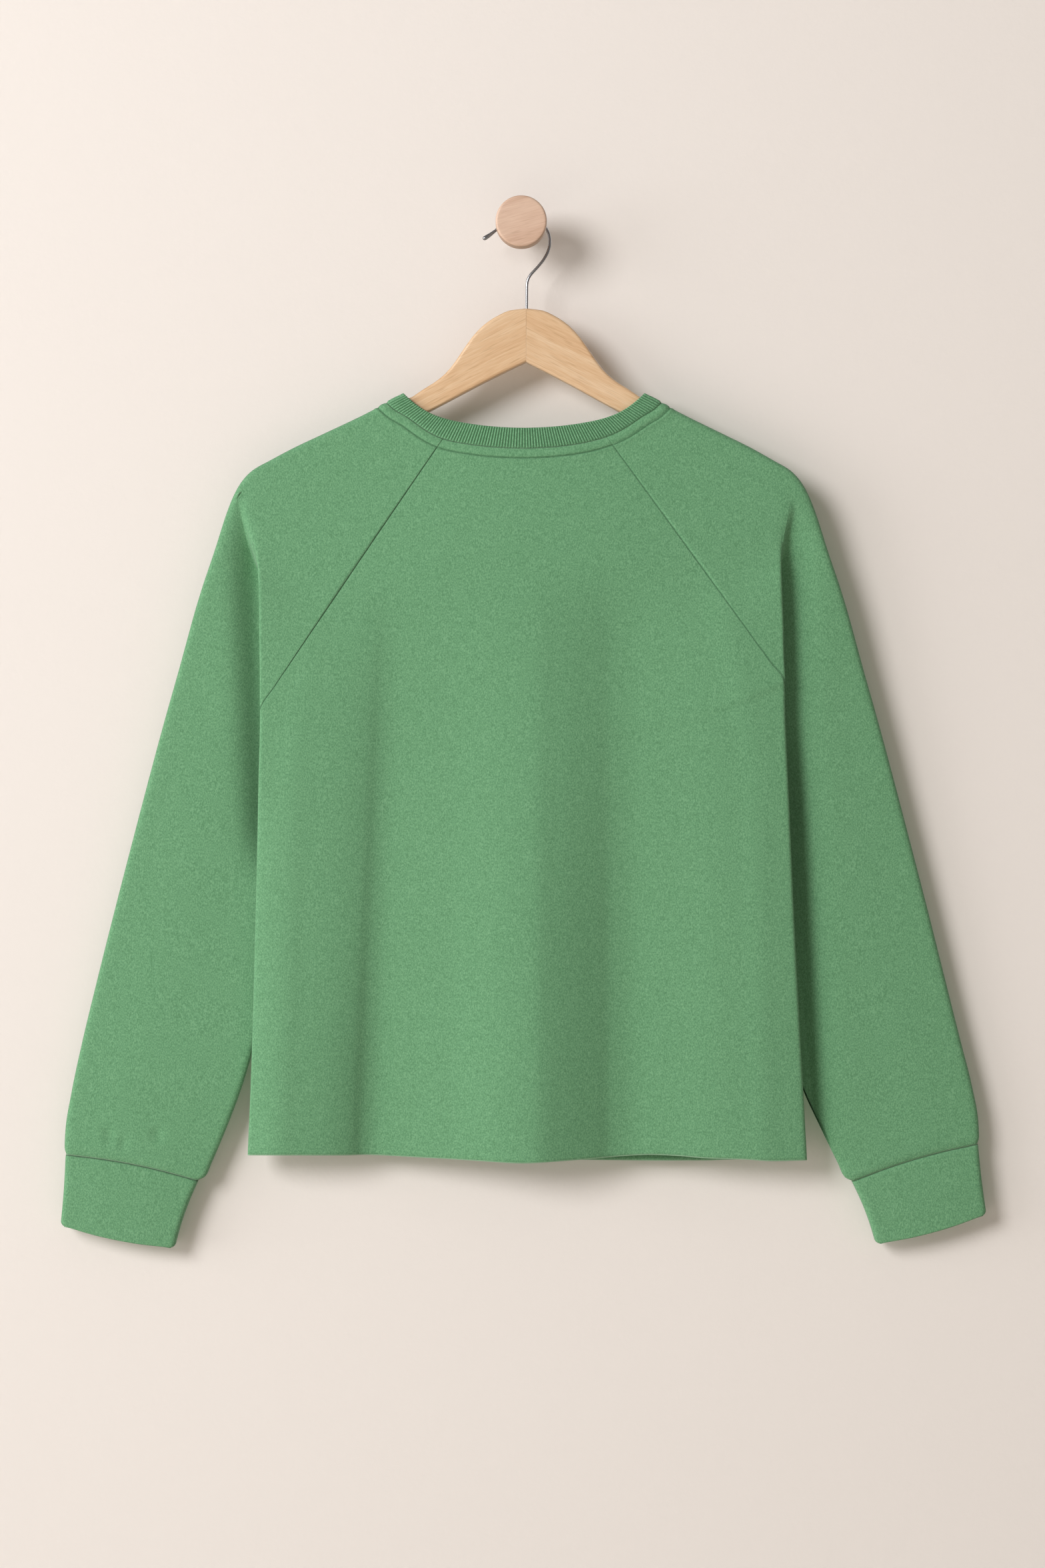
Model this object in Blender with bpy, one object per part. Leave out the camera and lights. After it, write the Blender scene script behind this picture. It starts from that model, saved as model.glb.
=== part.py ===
"""Raglan sweatshirt on a flat wooden hanger, whose wire hook hangs from a round wooden wall peg.

The peg's flat back is on the wall at y = 0, its axis is the line x = z = 0, and +Z is up. The garment's own
back faces -Y. Sizes are in millimetres. "Out" is the distance from the middle, "drop" the distance below the
peg's axis and "depth" the distance in front of the wall. The cloth is worked out as closed loops that run once
round the garment: from the middle of the back over one side to the front, and over the other side back again.
The back, front and sleeves are cut from the same loops, so that their seams meet.
"""

import math
from dataclasses import dataclass

import bmesh
import bpy
import numpy as np
from mathutils import Vector

MM = 0.001

# Cloth
CLOTH = 1.2
RIB_CLOTH = 2.2
CUFF_CLOTH = 2.6
SEAM_GAP = 0.3
COLUMN_GAP = 0.7          # least distance between neighbouring points across a fold
EDGE_STEP = 3.2           # distance from a crisp fold to the next point beside it
EDGE_TURN = 2.3           # how far a crisp fold's rounding reaches
OUTER_TURN = 6.0          # the same at the sleeve's soft outer fold
SOFT_TURN = 20.0          # the same on open cloth
HEM_TURN = 4.5
LEVEL_REACH = 24.0
TURN_GROWTH = 0.4         # how fast the rounding's reach grows away from a fold

# Neck
NECK_MIDDLE = 2.4         # the neck hangs this far to the right
NECK_CURVE = 1.9          # 2 is a true ellipse
NECK_OUT = 118.7
NECK_SHOULDER_DROP = 154.0
NECK_BACK_DROP = 193.7
NECK_FRONT_DROP = 245.0
BAND_OUT = 103.2
BAND_SHOULDER_DROP = 146.6
BAND_BACK_DROP = 176.0
BAND_FRONT_DROP = 227.0
BAND_SEAM_GAP = 0.45
BAND_SEAM_SHARE = 0.59    # how far out the back raglan seam meets the neckband, as a share of the half width
FRONT_SEAM_OUT = 80.0
RIBS = 150
RIB_HEIGHT = 0.5

# Underarm and pleat
PLEAT_START = 0.42        # share of the raglan seam above which there is no pleat
TURN_SHARE = 0.79         # share at which the raglan seam turns over the body's edge
PLEAT_SOFT = 0.12         # share over which the pleat sharpens from a soft hollow
TURN_STEP = 0.03          # share that the seam takes to go round that edge
NOTCH = 1.6               # distance past the inner fold at which the sleeve's tube starts
NOTCH_SHARE = 0.95         # share from which the sleeve is cut that far past the fold
FOLD_SHARE = 0.975        # share from which the seam follows the pleat's inner fold to the underarm
UNDERARM = (170.4, 453.3)
UNDERARM_EDGE_DROP = 460.0

# Cuffs
CUFF_DEPTH = 15.0
CUFF_HALF = 7.4
CUFF_CORNER = 1.4
CUFF_SEAM_GAP = 1.2

# Shares at which the cloth has its rows, and how many columns it has
YOKE_ROWS = (
    0.0, 0.07, 0.15, 0.23, 0.30, 0.35, 0.39, 0.43, 0.48, 0.53, 0.56, 0.60, 0.66, 0.73,
    TURN_SHARE, TURN_SHARE + 0.6 * TURN_STEP, 0.86, 0.90, 0.935, 0.96, FOLD_SHARE,
)
BODY_ROWS = (0.0, 0.05, 0.12, 0.22, 0.35, 0.50, 0.65, 0.80, 0.92, 1.0)
SLEEVE_ROWS = (0.0, 0.045, 0.10, 0.19, 0.32, 0.48, 0.64, 0.78, 0.89, 0.965, 1.0)
CUFF_ROWS = (0.0, 0.12, 0.5, 0.88, 1.0)
PANEL_COLUMNS = 9
FLAP_COLUMNS = 4
CUFF_COLUMNS = 24

# Hanger and hook
HANGER_MIDDLE = 4.2
HANGER_DEPTH = 30.0
HANGER_THICK = 12.0
HANGER_EDGE = 3.6
MITRE_GAP = 0.3
SHOULDER_SHARE = 0.36     # share of the raglan seam down to which the cloth lies on the wood
WOOD_UNDER_CLOTH = 0.95
WOOD_UNDER_BAND = 1.9
HANGER_END_OUT = 226.0
HANGER_END_DROP = 219.5
HANGER_END_RADIUS = 8.0
WIRE_RADIUS = 1.5
WIRE_HOLE_RADIUS = 1.8
WIRE_IN_WOOD = 22.0
HOOK_RADIUS = 23.6
HOOK_SEAT_GAP = 0.3
WIRE_SIDES = 8

# Peg
KNOB_RADIUS = 22.0
KNOB_DEPTH = 60.0
KNOB_THICK = 18.0
KNOB_EDGE = 1.6
STEM_RADIUS = 9.5
STEM_FILLET = 1.5
PEG_SIDES = 32

COLOURS = {
    "knit": (0.145, 0.325, 0.165, 1.0),
    "rib": (0.125, 0.285, 0.140, 1.0),
    "wood": (0.680, 0.440, 0.240, 1.0),
    "peg_wood": (0.640, 0.440, 0.320, 1.0),
    "steel": (0.620, 0.620, 0.630, 1.0),
}

# The sleeve's outer outline, from the neck seam over the shoulder to the cuff.
OUTER_OUTLINE = {
    "drop": (
        154, 165, 179.4, 193.8, 206.5, 213.5, 222.7, 237.1, 251.5,
        280, 323, 381, 439, 555, 670, 757, 786, 801,
    ),
    "out": (
        118.7, 140, 169.9, 199.6, 222.5, 234, 242, 249.8, 255.3,
        264.5, 279, 295.4, 311.9, 342.8, 372, 392, 396.2, 396.6,
    ),
}

# Loops above the underarm. The share is how far down the raglan seam a loop starts.
YOKE = {
    "share":        (0.00, 0.20, 0.36, 0.45, 0.60, 0.80, 0.90, 1.00),
    "outer_drop":   (154.0, 188.0, 214.0, 238.5, 290.4, 358.2, 392.1, 426.0),
    "back_drop":    (193.7, 252.0, 303.0, 334.0, 386.0, 447.0, 470.0, 488.0),
    "front_drop":   (245.0, 292.0, 331.0, 353.0, 389.0, 435.0, 459.0, 482.0),
    "back":         (43.0, 46.0, 48.0, 49.0, 50.0, 51.0, 51.5, 52.0),
    "seam":         (41.0, 42.5, 43.5, 44.2, 45.1, 45.2, 44.8, 44.4),
    "sleeve_back":  (38.9, 38.6, 38.6, 38.6, 36.8, 34.0, 32.8, 31.5),
    "outer":        (30.0, 30.0, 30.0, 29.5, 27.5, 24.5, 23.0, 22.0),
    "outer_half":   (8.2, 8.2, 8.2, 8.0, 7.8, 7.4, 7.2, 7.0),
    "sleeve_front": (21.0, 20.5, 20.0, 19.0, 16.5, 14.0, 13.0, 12.5),
    "front_seam":   (19.0, 17.5, 16.5, 16.5, 18.0, 22.5, 26.0, 30.0),
    "front":        (15.0, 14.0, 13.5, 13.0, 13.0, 13.0, 13.0, 13.0),
}

# The pleat that hides behind the body's crisp edge, from its start to the underarm.
PLEAT = {
    "share":       (0.42, 0.47, 0.53, 0.56, 0.60, 0.66, 0.79, 0.90, 1.00),
    "inner_shift": (3.0, 5.0, 5.6, 3.4, 0.6, 0.0, 0.0, 0.0, 0.0),
    "inner_rise":  (0.0, 0.0, 0.4, 1.5, 4.5, 9.0, 15.0, 12.0, 6.7),
    "inner_depth": (39.2, 38.0, 36.2, 35.7, 35.2, 34.9, 34.6, 34.2, 33.6),
    "inner_gap":   (0.1, 0.8, 2.4, 3.2, 3.8, 3.8, 3.6, 3.6, 2.6),
    "rise":        (0.1, 0.4, 1.2, 1.6, 1.6, 1.4, 1.2, 1.4, 2.6),
    "edge_gap":    (0.2, 1.4, 3.2, 4.0, 4.6, 4.8, 4.8, 4.8, 4.8),
}

# Loops of the body below the underarm, down to the raw hem.
BODY = {
    "share":      (0.00, 0.06, 0.15, 0.35, 0.60, 0.80, 1.00),
    "edge_depth": (43.6, 43.6, 43.6, 43.2, 42.0, 40.5, 38.5),
    "edge_gap":   (4.8, 4.8, 4.8, 5.0, 6.0, 8.0, 11.0),
    "seam_out":   (169.6, 172.0, 178.0, 192.0, 208.0, 219.0, 228.0),
    "seam_depth": (35.8, 37.2, 38.0, 37.6, 35.6, 32.0, 27.4),
    "middle":     (20.0, 20.0, 19.0, 17.0, 16.0, 15.5, 15.5),
    "back":       (52.0, 52.3, 52.8, 53.5, 53.5, 52.0, 50.0),
    "front":      (13.0, 13.0, 13.0, 13.0, 13.0, 13.5, 14.0),
}

# Loops of the sleeve below the underarm, down to the cuff seam.
SLEEVE = {
    "share":        (0.00, 0.045, 0.165, 0.34, 0.51, 0.675, 0.815, 0.91, 0.97, 1.00),
    "inner_out":    (171.8, 174.4, 182.8, 198.0, 214.2, 230.8, 247.0, 261.0, 271.0, 275.3),
    "inner_drop":   (454.3, 470.0, 515.0, 580.5, 644.0, 705.0, 757.0, 791.6, 814.5, 823.6),
    "outer_drop":   (426.0, 443.0, 484.0, 546.0, 608.0, 667.0, 721.0, 757.0, 783.0, 795.5),
    "inner_depth":  (31.2, 29.0, 26.0, 24.0, 22.0, 20.0, 18.5, 17.0, 15.6, 15.0),
    "inner_half":   (1.6, 3.6, 5.0, 5.2, 5.4, 5.6, 5.8, 6.2, 7.0, 7.4),
    "sleeve_back":  (31.0, 30.4, 29.2, 27.8, 26.8, 25.8, 25.2, 24.8, 24.8, 24.4),
    "outer":        (22.0, 21.5, 20.2, 19.0, 18.0, 17.0, 16.2, 15.6, 15.0, 15.0),
    "outer_half":   (7.0, 7.0, 6.8, 6.6, 6.4, 6.2, 6.2, 6.6, 7.2, 7.4),
    "sleeve_front": (12.5, 12.0, 11.0, 10.0, 9.2, 8.4, 7.4, 6.4, 5.6, 5.6),
}

# How far the sleeve's end stands past the cuff's corners: out and down, inner corner and outer corner.
SLEEVE_OVER_CUFF = ((-6.6, -3.2), (1.8, -6.0))

# The raw hem under the back, which lifts on the right so that the front's inside shows.
BACK_HEM = {
    "across": (-250, -206.9, -136, -85, -35, 0, 34, 69, 90, 114, 137, 158, 192, 219, 250),
    "drop": (
        804.0, 803.0, 804.0, 805.7, 807.5, 808.9, 807.5, 806.0, 804.6, 803.4, 804.2, 805.7, 806.6, 808.0, 807.5,
    ),
}
FRONT_HEM = {
    "across": (-250, -136, -60, 0, 69, 158, 192, 250),
    "drop":   (804.0, 805.0, 806.0, 808.0, 809.8, 809.8, 808.5, 808.0),
}

HEMS = {"back": BACK_HEM, "front": FRONT_HEM}

# Soft folds that fall down the back and front. Height is how far each stands out, negative where it goes in.
HANG_FOLDS = {
    "back": (
        {"top": -196, "hem": -204, "start": 330, "width": 26, "height": 1.6},
        {"top": -148, "hem": -152, "start": 330, "width": 30, "height": -4.5},
        {"top": -60, "hem": -50, "start": 360, "width": 48, "height": 3.0},
        {"top": 80, "hem": 50, "start": 400, "width": 34, "height": -5.0},
        {"top": 150, "hem": 140, "start": 380, "width": 46, "height": 3.0},
    ),
    "front": (
        {"top": -90, "hem": -110, "start": 330, "width": 36, "height": -4.0},
        {"top": 20, "hem": 30, "start": 360, "width": 40, "height": 2.5},
        {"top": 120, "hem": 132, "start": 340, "width": 38, "height": -3.5},
    ),
}

# The hanger's upper edge from its top to where cloth covers it, and its lower edge from the middle outwards.
HANGER_TOP = {
    "out": (0, 13, 26.8, 37, 45.8, 54, 62, 69, 78, 88, 98.4),
    "drop": (71.9, 73.3, 79.4, 86.5, 95.6, 107, 118.8, 127.4, 134.9, 141.2, 148.3),
}
HANGER_UNDER = {
    "out": (0, 30, 82, 150, 222.5),
    "drop": (118.2, 133.0, 160.9, 195.6, 227.0),
}

# The hook's wire below its round part, and its flared tip.
HOOK_STEM = ((10.2, -34.6), (7.4, -39.4), (6.1, -45.0), (5.2, -53.0), (4.6, -62.0))
HOOK_TIP = ((-23.4, -4.2), (-27.4, -6.3), (-31.6, -9.4))
HOOK_ARC_START = 157.0
HOOK_ARC_END = -52.0
HOOK_ARC_STEPS = 16


@dataclass(frozen=True)
class Side:
    """What differs between the garment's two sides."""

    name: str
    way: int
    seam_top: tuple
    seam_edge: tuple
    pleat_top: tuple
    edge_drop: tuple
    edge_out: tuple
    cuff_top: tuple
    cuff_end: tuple

    def edge_across(self, seam, outer):
        """Where the line from the seam to the outer outline crosses the body's edge."""
        slope = (outer[1] - seam[1]) / (outer[0] - seam[0])
        out = self.seam_edge[0]
        for _ in range(3):
            drop = seam[1] + (out - seam[0]) * slope
            out = max(float(read(self.edge_drop, self.edge_out, drop)), seam[0] + 0.01)
        return out, seam[1] + (out - seam[0]) * slope

    def back_seam(self, share):
        """Where the back raglan seam is, which turns over the body's edge at TURN_SHARE."""
        if share <= TURN_SHARE:
            return mix(self.seam_top, self.seam_edge, share / TURN_SHARE)
        if share >= FOLD_SHARE:
            return self.inner_fold(share, self.edge_beyond(share))
        beyond = max(0.0, (share - TURN_SHARE - TURN_STEP) / (FOLD_SHARE - TURN_SHARE - TURN_STEP))
        return mix(self.edge_beyond(share), self.inner_fold(FOLD_SHARE, self.edge_beyond(FOLD_SHARE)), beyond)

    def edge_beyond(self, share):
        """The body's edge on loops past the turn."""
        part = (share - TURN_SHARE) / (1 - TURN_SHARE)
        drop = self.seam_edge[1] + (UNDERARM_EDGE_DROP - self.seam_edge[1]) * part
        return float(read(self.edge_drop, self.edge_out, drop)), drop

    def inner_fold(self, share, edge):
        """Where the pleat's inner fold is on a loop that crosses the body's edge at a given place."""
        drop = edge[1] - column(PLEAT, "inner_rise", share)
        down = (drop - self.pleat_top[1]) / (UNDERARM[1] - self.pleat_top[1])
        out = self.pleat_top[0] + (UNDERARM[0] - self.pleat_top[0]) * down
        return out + column(PLEAT, "inner_shift", share), drop


SIDES = (
    Side(
        name="left", way=-1, seam_top=(67.6, 186.2), seam_edge=(224.7, 417.3), pleat_top=(235.6, 252.0),
        edge_drop=(252, 267, 295, 324, 382, 416, 497, 611, 726, 804),
        edge_out=(235.6, 232.2, 227.0, 225.6, 225.0, 224.7, 226.5, 229.3, 232.8, 236.2),
        cuff_top=((281.6, 826.4), (394.6, 804.3)), cuff_end=((302.1, 884.3), (398.9, 864.8)),
    ),
    Side(
        name="right", way=1, seam_top=(73.9, 184.0), seam_edge=(226.9, 394.3), pleat_top=(229.0, 249.0),
        edge_drop=(249, 267, 295, 353, 416, 497, 611, 726, 807),
        edge_out=(229.0, 225.5, 224.1, 225.8, 226.9, 230.4, 235.5, 241.9, 246.5),
        cuff_top=((288.2, 827.1), (395.6, 795.1)), cuff_end=((309.0, 880.8), (402.8, 855.3)),
    ),
)


def read(keys, values, at):
    """A table's value at any key, smooth and without overshoot."""
    keys, values = np.asarray(keys, float), np.asarray(values, float)
    at = np.clip(at, keys[0], keys[-1])
    steps = np.diff(keys)
    rises = np.diff(values) / steps
    slopes = np.zeros(len(keys))
    slopes[0], slopes[-1] = rises[0], rises[-1]
    before, after = rises[:-1], rises[1:]
    same_way = before * after > 0
    slopes[1:-1][same_way] = 2 * before[same_way] * after[same_way] / (before + after)[same_way]
    place = np.clip(np.searchsorted(keys, at, side="right") - 1, 0, len(steps) - 1)
    share = (at - keys[place]) / steps[place]
    curve = (
        values[place] * (1 + 2 * share) * (1 - share) ** 2
        + values[place + 1] * share**2 * (3 - 2 * share)
        + slopes[place] * steps[place] * share * (1 - share) ** 2
        - slopes[place + 1] * steps[place] * share**2 * (1 - share)
    )
    return curve


def column(table, name, share):
    """One column of a table of loops at a share of its length."""
    return float(read(table["share"], table[name], share))


def ease(share):
    """A smooth step from 0 to 1."""
    share = np.clip(share, 0.0, 1.0)
    return share * share * (3 - 2 * share)


def mix(first, second, share):
    """The point at a share of the way between two points."""
    return tuple(a + (b - a) * share for a, b in zip(first, second))


class Loop:
    """A closed loop of cloth through corners, each rounded over its own short reach."""

    TAPS = np.linspace(-1.0, 1.0, 11)

    def __init__(self, corners):
        self.places = np.array([place for _, place, _ in corners], float)
        turns = np.array([turn for _, _, turn in corners])
        ends = np.vstack([self.places, self.places[:1]])
        lengths = np.linalg.norm(np.diff(ends, axis=0), axis=1)
        self.along = np.concatenate([[0.0], np.cumsum(lengths)])
        self.length = self.along[-1]
        self.ends = ends
        self.turns = turns
        self.named = {name: self.along[i] for i, (name, _, _) in enumerate(corners) if name}

    def raw(self, along):
        """Points on the straight runs between the corners."""
        along = np.mod(along, self.length)
        return np.stack([np.interp(along, self.along, self.ends[:, axis]) for axis in range(3)], axis=-1)

    def reach(self, along):
        """How far the rounding reaches at a place, which is short near a crisp fold."""
        apart = np.abs(np.mod(along, self.length)[:, None] - self.along[None, :-1])
        apart = np.minimum(apart, self.length - apart)
        return np.minimum(SOFT_TURN, (self.turns[None, :] + TURN_GROWTH * apart).min(axis=1))

    def at(self, along):
        """Points on the rounded loop."""
        along = np.asarray(along, float)
        weights = 1.0 - np.abs(self.TAPS) * 0.92
        reach = self.reach(along)
        total = sum(w * self.raw(along + tap * reach) for tap, w in zip(self.TAPS, weights))
        return total / weights.sum()


def world(side, out, drop, depth, shift=0.0):
    """A place on one side, as x, y and z."""
    return (side.way * out + shift, -depth, -drop)


def yoke_side(side, share):
    """One side of a loop above the underarm, from the middle of the back round to the middle of the front."""
    get = lambda name: column(YOKE, name, share)
    shift = NECK_MIDDLE * float(1 - ease(share / PLEAT_START))
    outer_drop = get("outer_drop")
    outer_out = float(read(OUTER_OUTLINE["drop"], OUTER_OUTLINE["out"], outer_drop))
    outer = (outer_out, outer_drop)
    turned = share > TURN_SHARE
    seam = side.back_seam(share)
    if turned:
        edge = side.edge_beyond(share)
    elif share > PLEAT_START:
        edge = side.edge_across(seam, outer)
    else:
        start_seam = side.back_seam(PLEAT_START)
        start_drop = column(YOKE, "outer_drop", PLEAT_START)
        start_outer = float(read(OUTER_OUTLINE["drop"], OUTER_OUTLINE["out"], start_drop))
        start_edge = side.edge_across(start_seam, (start_outer, start_drop))
        part = (start_edge[0] - start_seam[0]) / (start_outer - start_seam[0])
        edge = mix(seam, outer, 0.6 + (part - 0.6) * share / PLEAT_START)
    if share > PLEAT_START:
        fold = lambda name: column(PLEAT, name, share)
        inner = side.inner_fold(share, edge)
        inner_back = fold("inner_depth")
        inner_front = inner_back + fold("inner_gap")
        edge_front = inner_front + fold("rise")
        edge_back = edge_front + fold("edge_gap")
    else:
        inner = edge
        inner_back = inner_front = edge_front = edge_back = PLEAT["inner_depth"][0] + 0.4
    bow = float(1 - ease(share / PLEAT_START))

    corners = []
    middle = (0.0, get("back_drop"))
    target = edge if turned else seam
    depth = edge_back if turned else get("seam")
    for step in (0.25, 0.5, 0.75):
        out = target[0] * step
        drop = middle[1] + (target[1] - middle[1]) * step**2.1
        here = depth + (get("back") - depth) * (1 - step**2)
        corners.append((None, world(side, out, drop, here, shift), SOFT_TURN))
    if not turned:
        corners.append(("seam", world(side, *seam, get("seam"), 0.0), SOFT_TURN))
        for step in (0.3, 0.6):
            out, drop = mix(seam, edge, step)
            drop += bow * 5.0 * step
            here = get("seam") + (edge_back - get("seam")) * step
            corners.append((None, world(side, out, drop, here, shift * step), SOFT_TURN))
    turn = EDGE_TURN + (SOFT_TURN - EDGE_TURN) * float(1 - ease((share - PLEAT_START) / PLEAT_SOFT))
    corners.append(("edge_back", world(side, *edge, edge_back, shift), turn))
    wrap = (share - TURN_SHARE) / TURN_STEP
    if 0 < wrap < 1:
        corners.append(("seam", world(side, *seam, edge_back + (edge_front - edge_back) * wrap), turn))
    if share > PLEAT_START:
        corners.append(("edge_front", world(side, *edge, edge_front, shift), turn))
        if turned and wrap >= 1:
            part = (edge[0] - seam[0]) / max(edge[0] - inner[0], 0.01)
            near = part < 0.05 or part > 0.95
            depth = edge_front + (inner_front - edge_front) * part
            corners.append(("seam", world(side, *seam, depth), turn if near else SOFT_TURN))
        corners.append(("inner_front", world(side, *inner, inner_front), turn))
        corners.append(("inner_back", world(side, *inner, inner_back), turn))
    half = get("outer_half")
    out, drop = mix(inner, outer, 0.55)
    corners.append((None, world(side, out, drop + bow * 2.5, get("sleeve_back"), shift), SOFT_TURN))
    corners.append(("outer_back", world(side, *outer, get("outer") + half, shift), OUTER_TURN))
    corners.append(("outer_front", world(side, *outer, get("outer") - half, shift), OUTER_TURN))
    front_rise = 1 - (FRONT_SEAM_OUT / NECK_OUT) ** NECK_CURVE
    front_tall = NECK_FRONT_DROP - NECK_SHOULDER_DROP
    front_top = (FRONT_SEAM_OUT, NECK_SHOULDER_DROP + front_tall * front_rise ** (1 / NECK_CURVE))
    front_seam = mix(front_top, UNDERARM, share)
    for step, sag in ((0.35, 0.95), (0.7, 0.8)):
        out, drop = mix(outer, front_seam, step)
        depth = get("sleeve_front") if step < 0.5 else 0.5 * (get("sleeve_front") + get("front_seam"))
        corners.append((None, world(side, out, drop + bow * 11.0 * sag, depth, shift), SOFT_TURN))
    corners.append(("front_seam", world(side, *front_seam, get("front_seam"), shift), SOFT_TURN))
    front_middle = get("front_drop")
    for step in (0.75, 0.5, 0.25):
        out = front_seam[0] * step
        drop = front_middle + (front_seam[1] - front_middle) * step**2.1
        depth = get("front") + (get("front_seam") - get("front")) * step**2
        corners.append((None, world(side, out, drop, depth, shift), SOFT_TURN))
    return corners


def closed_loop(side_corners, back_middle, front_middle):
    """A loop once round: the middle of the back, the left side, the middle of the front and the right side."""
    left, right = SIDES
    corners = [("back", back_middle, SOFT_TURN)]
    corners += [(name and f"left {name}", place, turn) for name, place, turn in side_corners(left)]
    corners.append(("front", front_middle, SOFT_TURN))
    corners += [(name and f"right {name}", place, turn) for name, place, turn in reversed(side_corners(right))]
    return Loop(corners)


def yoke_loop(share):
    """A loop above the underarm."""
    shift = NECK_MIDDLE * float(1 - ease(share / PLEAT_START))
    back = (shift, -column(YOKE, "back", share), -column(YOKE, "back_drop", share))
    front = (shift, -column(YOKE, "front", share), -column(YOKE, "front_drop", share))
    return closed_loop(lambda side: yoke_side(side, share), back, front)


def body_side(side, share):
    """One side of a loop of the body below the underarm."""
    get = lambda name: column(BODY, name, share)
    hem = side.edge_drop[-1]
    edge_drop = UNDERARM_EDGE_DROP + (hem - UNDERARM_EDGE_DROP) * share
    edge_out = float(read(side.edge_drop, side.edge_out, edge_drop))
    back_drop = body_drop("back", share, 0.0)
    turn = EDGE_TURN + (HEM_TURN - EDGE_TURN) * share
    corners = []
    for step in (0.25, 0.5, 0.75):
        drop = back_drop + (edge_drop - back_drop) * step**2.1
        depth = get("edge_depth") + (get("back") - get("edge_depth")) * (1 - step**2)
        corners.append((None, world(side, edge_out * step, drop, depth), SOFT_TURN))
    corners.append(("edge_back", world(side, edge_out, edge_drop, get("edge_depth")), turn))
    corners.append(("edge_front", world(side, edge_out, edge_drop, get("edge_depth") - get("edge_gap")), turn))
    seam_out = get("seam_out")
    if side.way > 0:
        seam_out += 9.0 * share
    seam_drop = UNDERARM[1] + (hem - UNDERARM[1]) * share
    corners.append(("seam", world(side, seam_out, seam_drop, get("seam_depth")), SOFT_TURN))
    front_drop = body_drop("front", share, 0.0)
    for step, depth in ((0.85, None), (0.65, "middle"), (0.3, "front")):
        out = seam_out * step
        drop = front_drop + (seam_drop - front_drop) * step**2
        value = get(depth) if depth else 0.5 * (get("seam_depth") + get("middle"))
        corners.append((None, world(side, out, drop, value), SOFT_TURN))
    return corners


def body_drop(layer, share, across):
    """How far down a loop of the body lies in the middle of the back or front."""
    start = YOKE[f"{layer}_drop"][-1]
    end = float(read(HEMS[layer]["across"], HEMS[layer]["drop"], across))
    return start + (end - start) * share


def body_loop(share):
    """A loop of the body below the underarm."""
    back = (0.0, -column(BODY, "back", share), -body_drop("back", share, 0.0))
    front = (0.0, -column(BODY, "front", share), -body_drop("front", share, 0.0))
    return closed_loop(lambda side: body_side(side, share), back, front)


def sleeve_loop(side, share):
    """A loop of one sleeve below the underarm, from the underarm over its outer side and round to it again."""
    get = lambda name: column(SLEEVE, name, share)
    near_cuff = float(ease((share - 0.7) / 0.3))
    outer_out = float(read(OUTER_OUTLINE["drop"], OUTER_OUTLINE["out"], get("outer_drop")))
    end_inner, end_outer = (np.array(place) + over for place, over in zip(side.cuff_top, SLEEVE_OVER_CUFF))
    inner = np.array((get("inner_out"), get("inner_drop")))
    inner += near_cuff * (end_inner - (SLEEVE["inner_out"][-1], SLEEVE["inner_drop"][-1]))
    outer = np.array((outer_out, get("outer_drop")))
    outer += near_cuff * (end_outer - (OUTER_OUTLINE["out"][-1], SLEEVE["outer_drop"][-1]))
    inner_turn = 1.2 + 2.4 * float(ease(share / 0.1))
    corners = [("start", world(side, *inner, get("inner_depth")), inner_turn)]
    corners.append(("inner_back", world(side, *inner, get("inner_depth") + get("inner_half")), inner_turn))
    for step in (0.3, 0.65):
        corners.append((None, world(side, *mix(inner, outer, step), get("sleeve_back")), SOFT_TURN))
    corners.append(("outer_back", world(side, *outer, get("outer") + get("outer_half")), OUTER_TURN))
    corners.append(("outer_front", world(side, *outer, get("outer") - get("outer_half")), OUTER_TURN))
    inner_front = get("inner_depth") - get("inner_half")
    near_underarm = float(1 - ease(share / 0.25))
    for step, lift in ((0.3, 0.0), (0.6, 0.5 * near_underarm)):
        depth = get("sleeve_front") + (inner_front - get("sleeve_front")) * lift
        corners.append((None, world(side, *mix(outer, inner, step + 0.2 * lift), depth), SOFT_TURN))
    corners.append(("inner_front", world(side, *inner, inner_front), inner_turn))
    return Loop(corners)


def cuff_loop(side, share):
    """A loop of one cuff, from its seam down to its turned edge."""
    inner = mix(side.cuff_top[0], side.cuff_end[0], share)
    outer = mix(side.cuff_top[1], side.cuff_end[1], share)
    half = CUFF_HALF
    corners = []
    for name, place, depth in (
        ("start", inner, CUFF_DEPTH),
        ("inner_back", inner, CUFF_DEPTH + half - CUFF_CORNER),
        (None, mix(inner, outer, 0.35), CUFF_DEPTH + half),
        (None, mix(inner, outer, 0.65), CUFF_DEPTH + half),
        ("outer_back", outer, CUFF_DEPTH + half - CUFF_CORNER),
        ("outer_front", outer, CUFF_DEPTH - half + CUFF_CORNER),
        (None, mix(inner, outer, 0.65), CUFF_DEPTH - half),
        (None, mix(inner, outer, 0.35), CUFF_DEPTH - half),
        ("inner_front", inner, CUFF_DEPTH - half + CUFF_CORNER),
    ):
        corners.append((name, world(side, *place, depth), OUTER_TURN * 0.6 if name else SOFT_TURN))
    return Loop(corners)


def spread(start, end, count):
    """Places between two others, both left out."""
    return list(start + (end - start) * np.arange(1, count + 1) / (count + 1))


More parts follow.
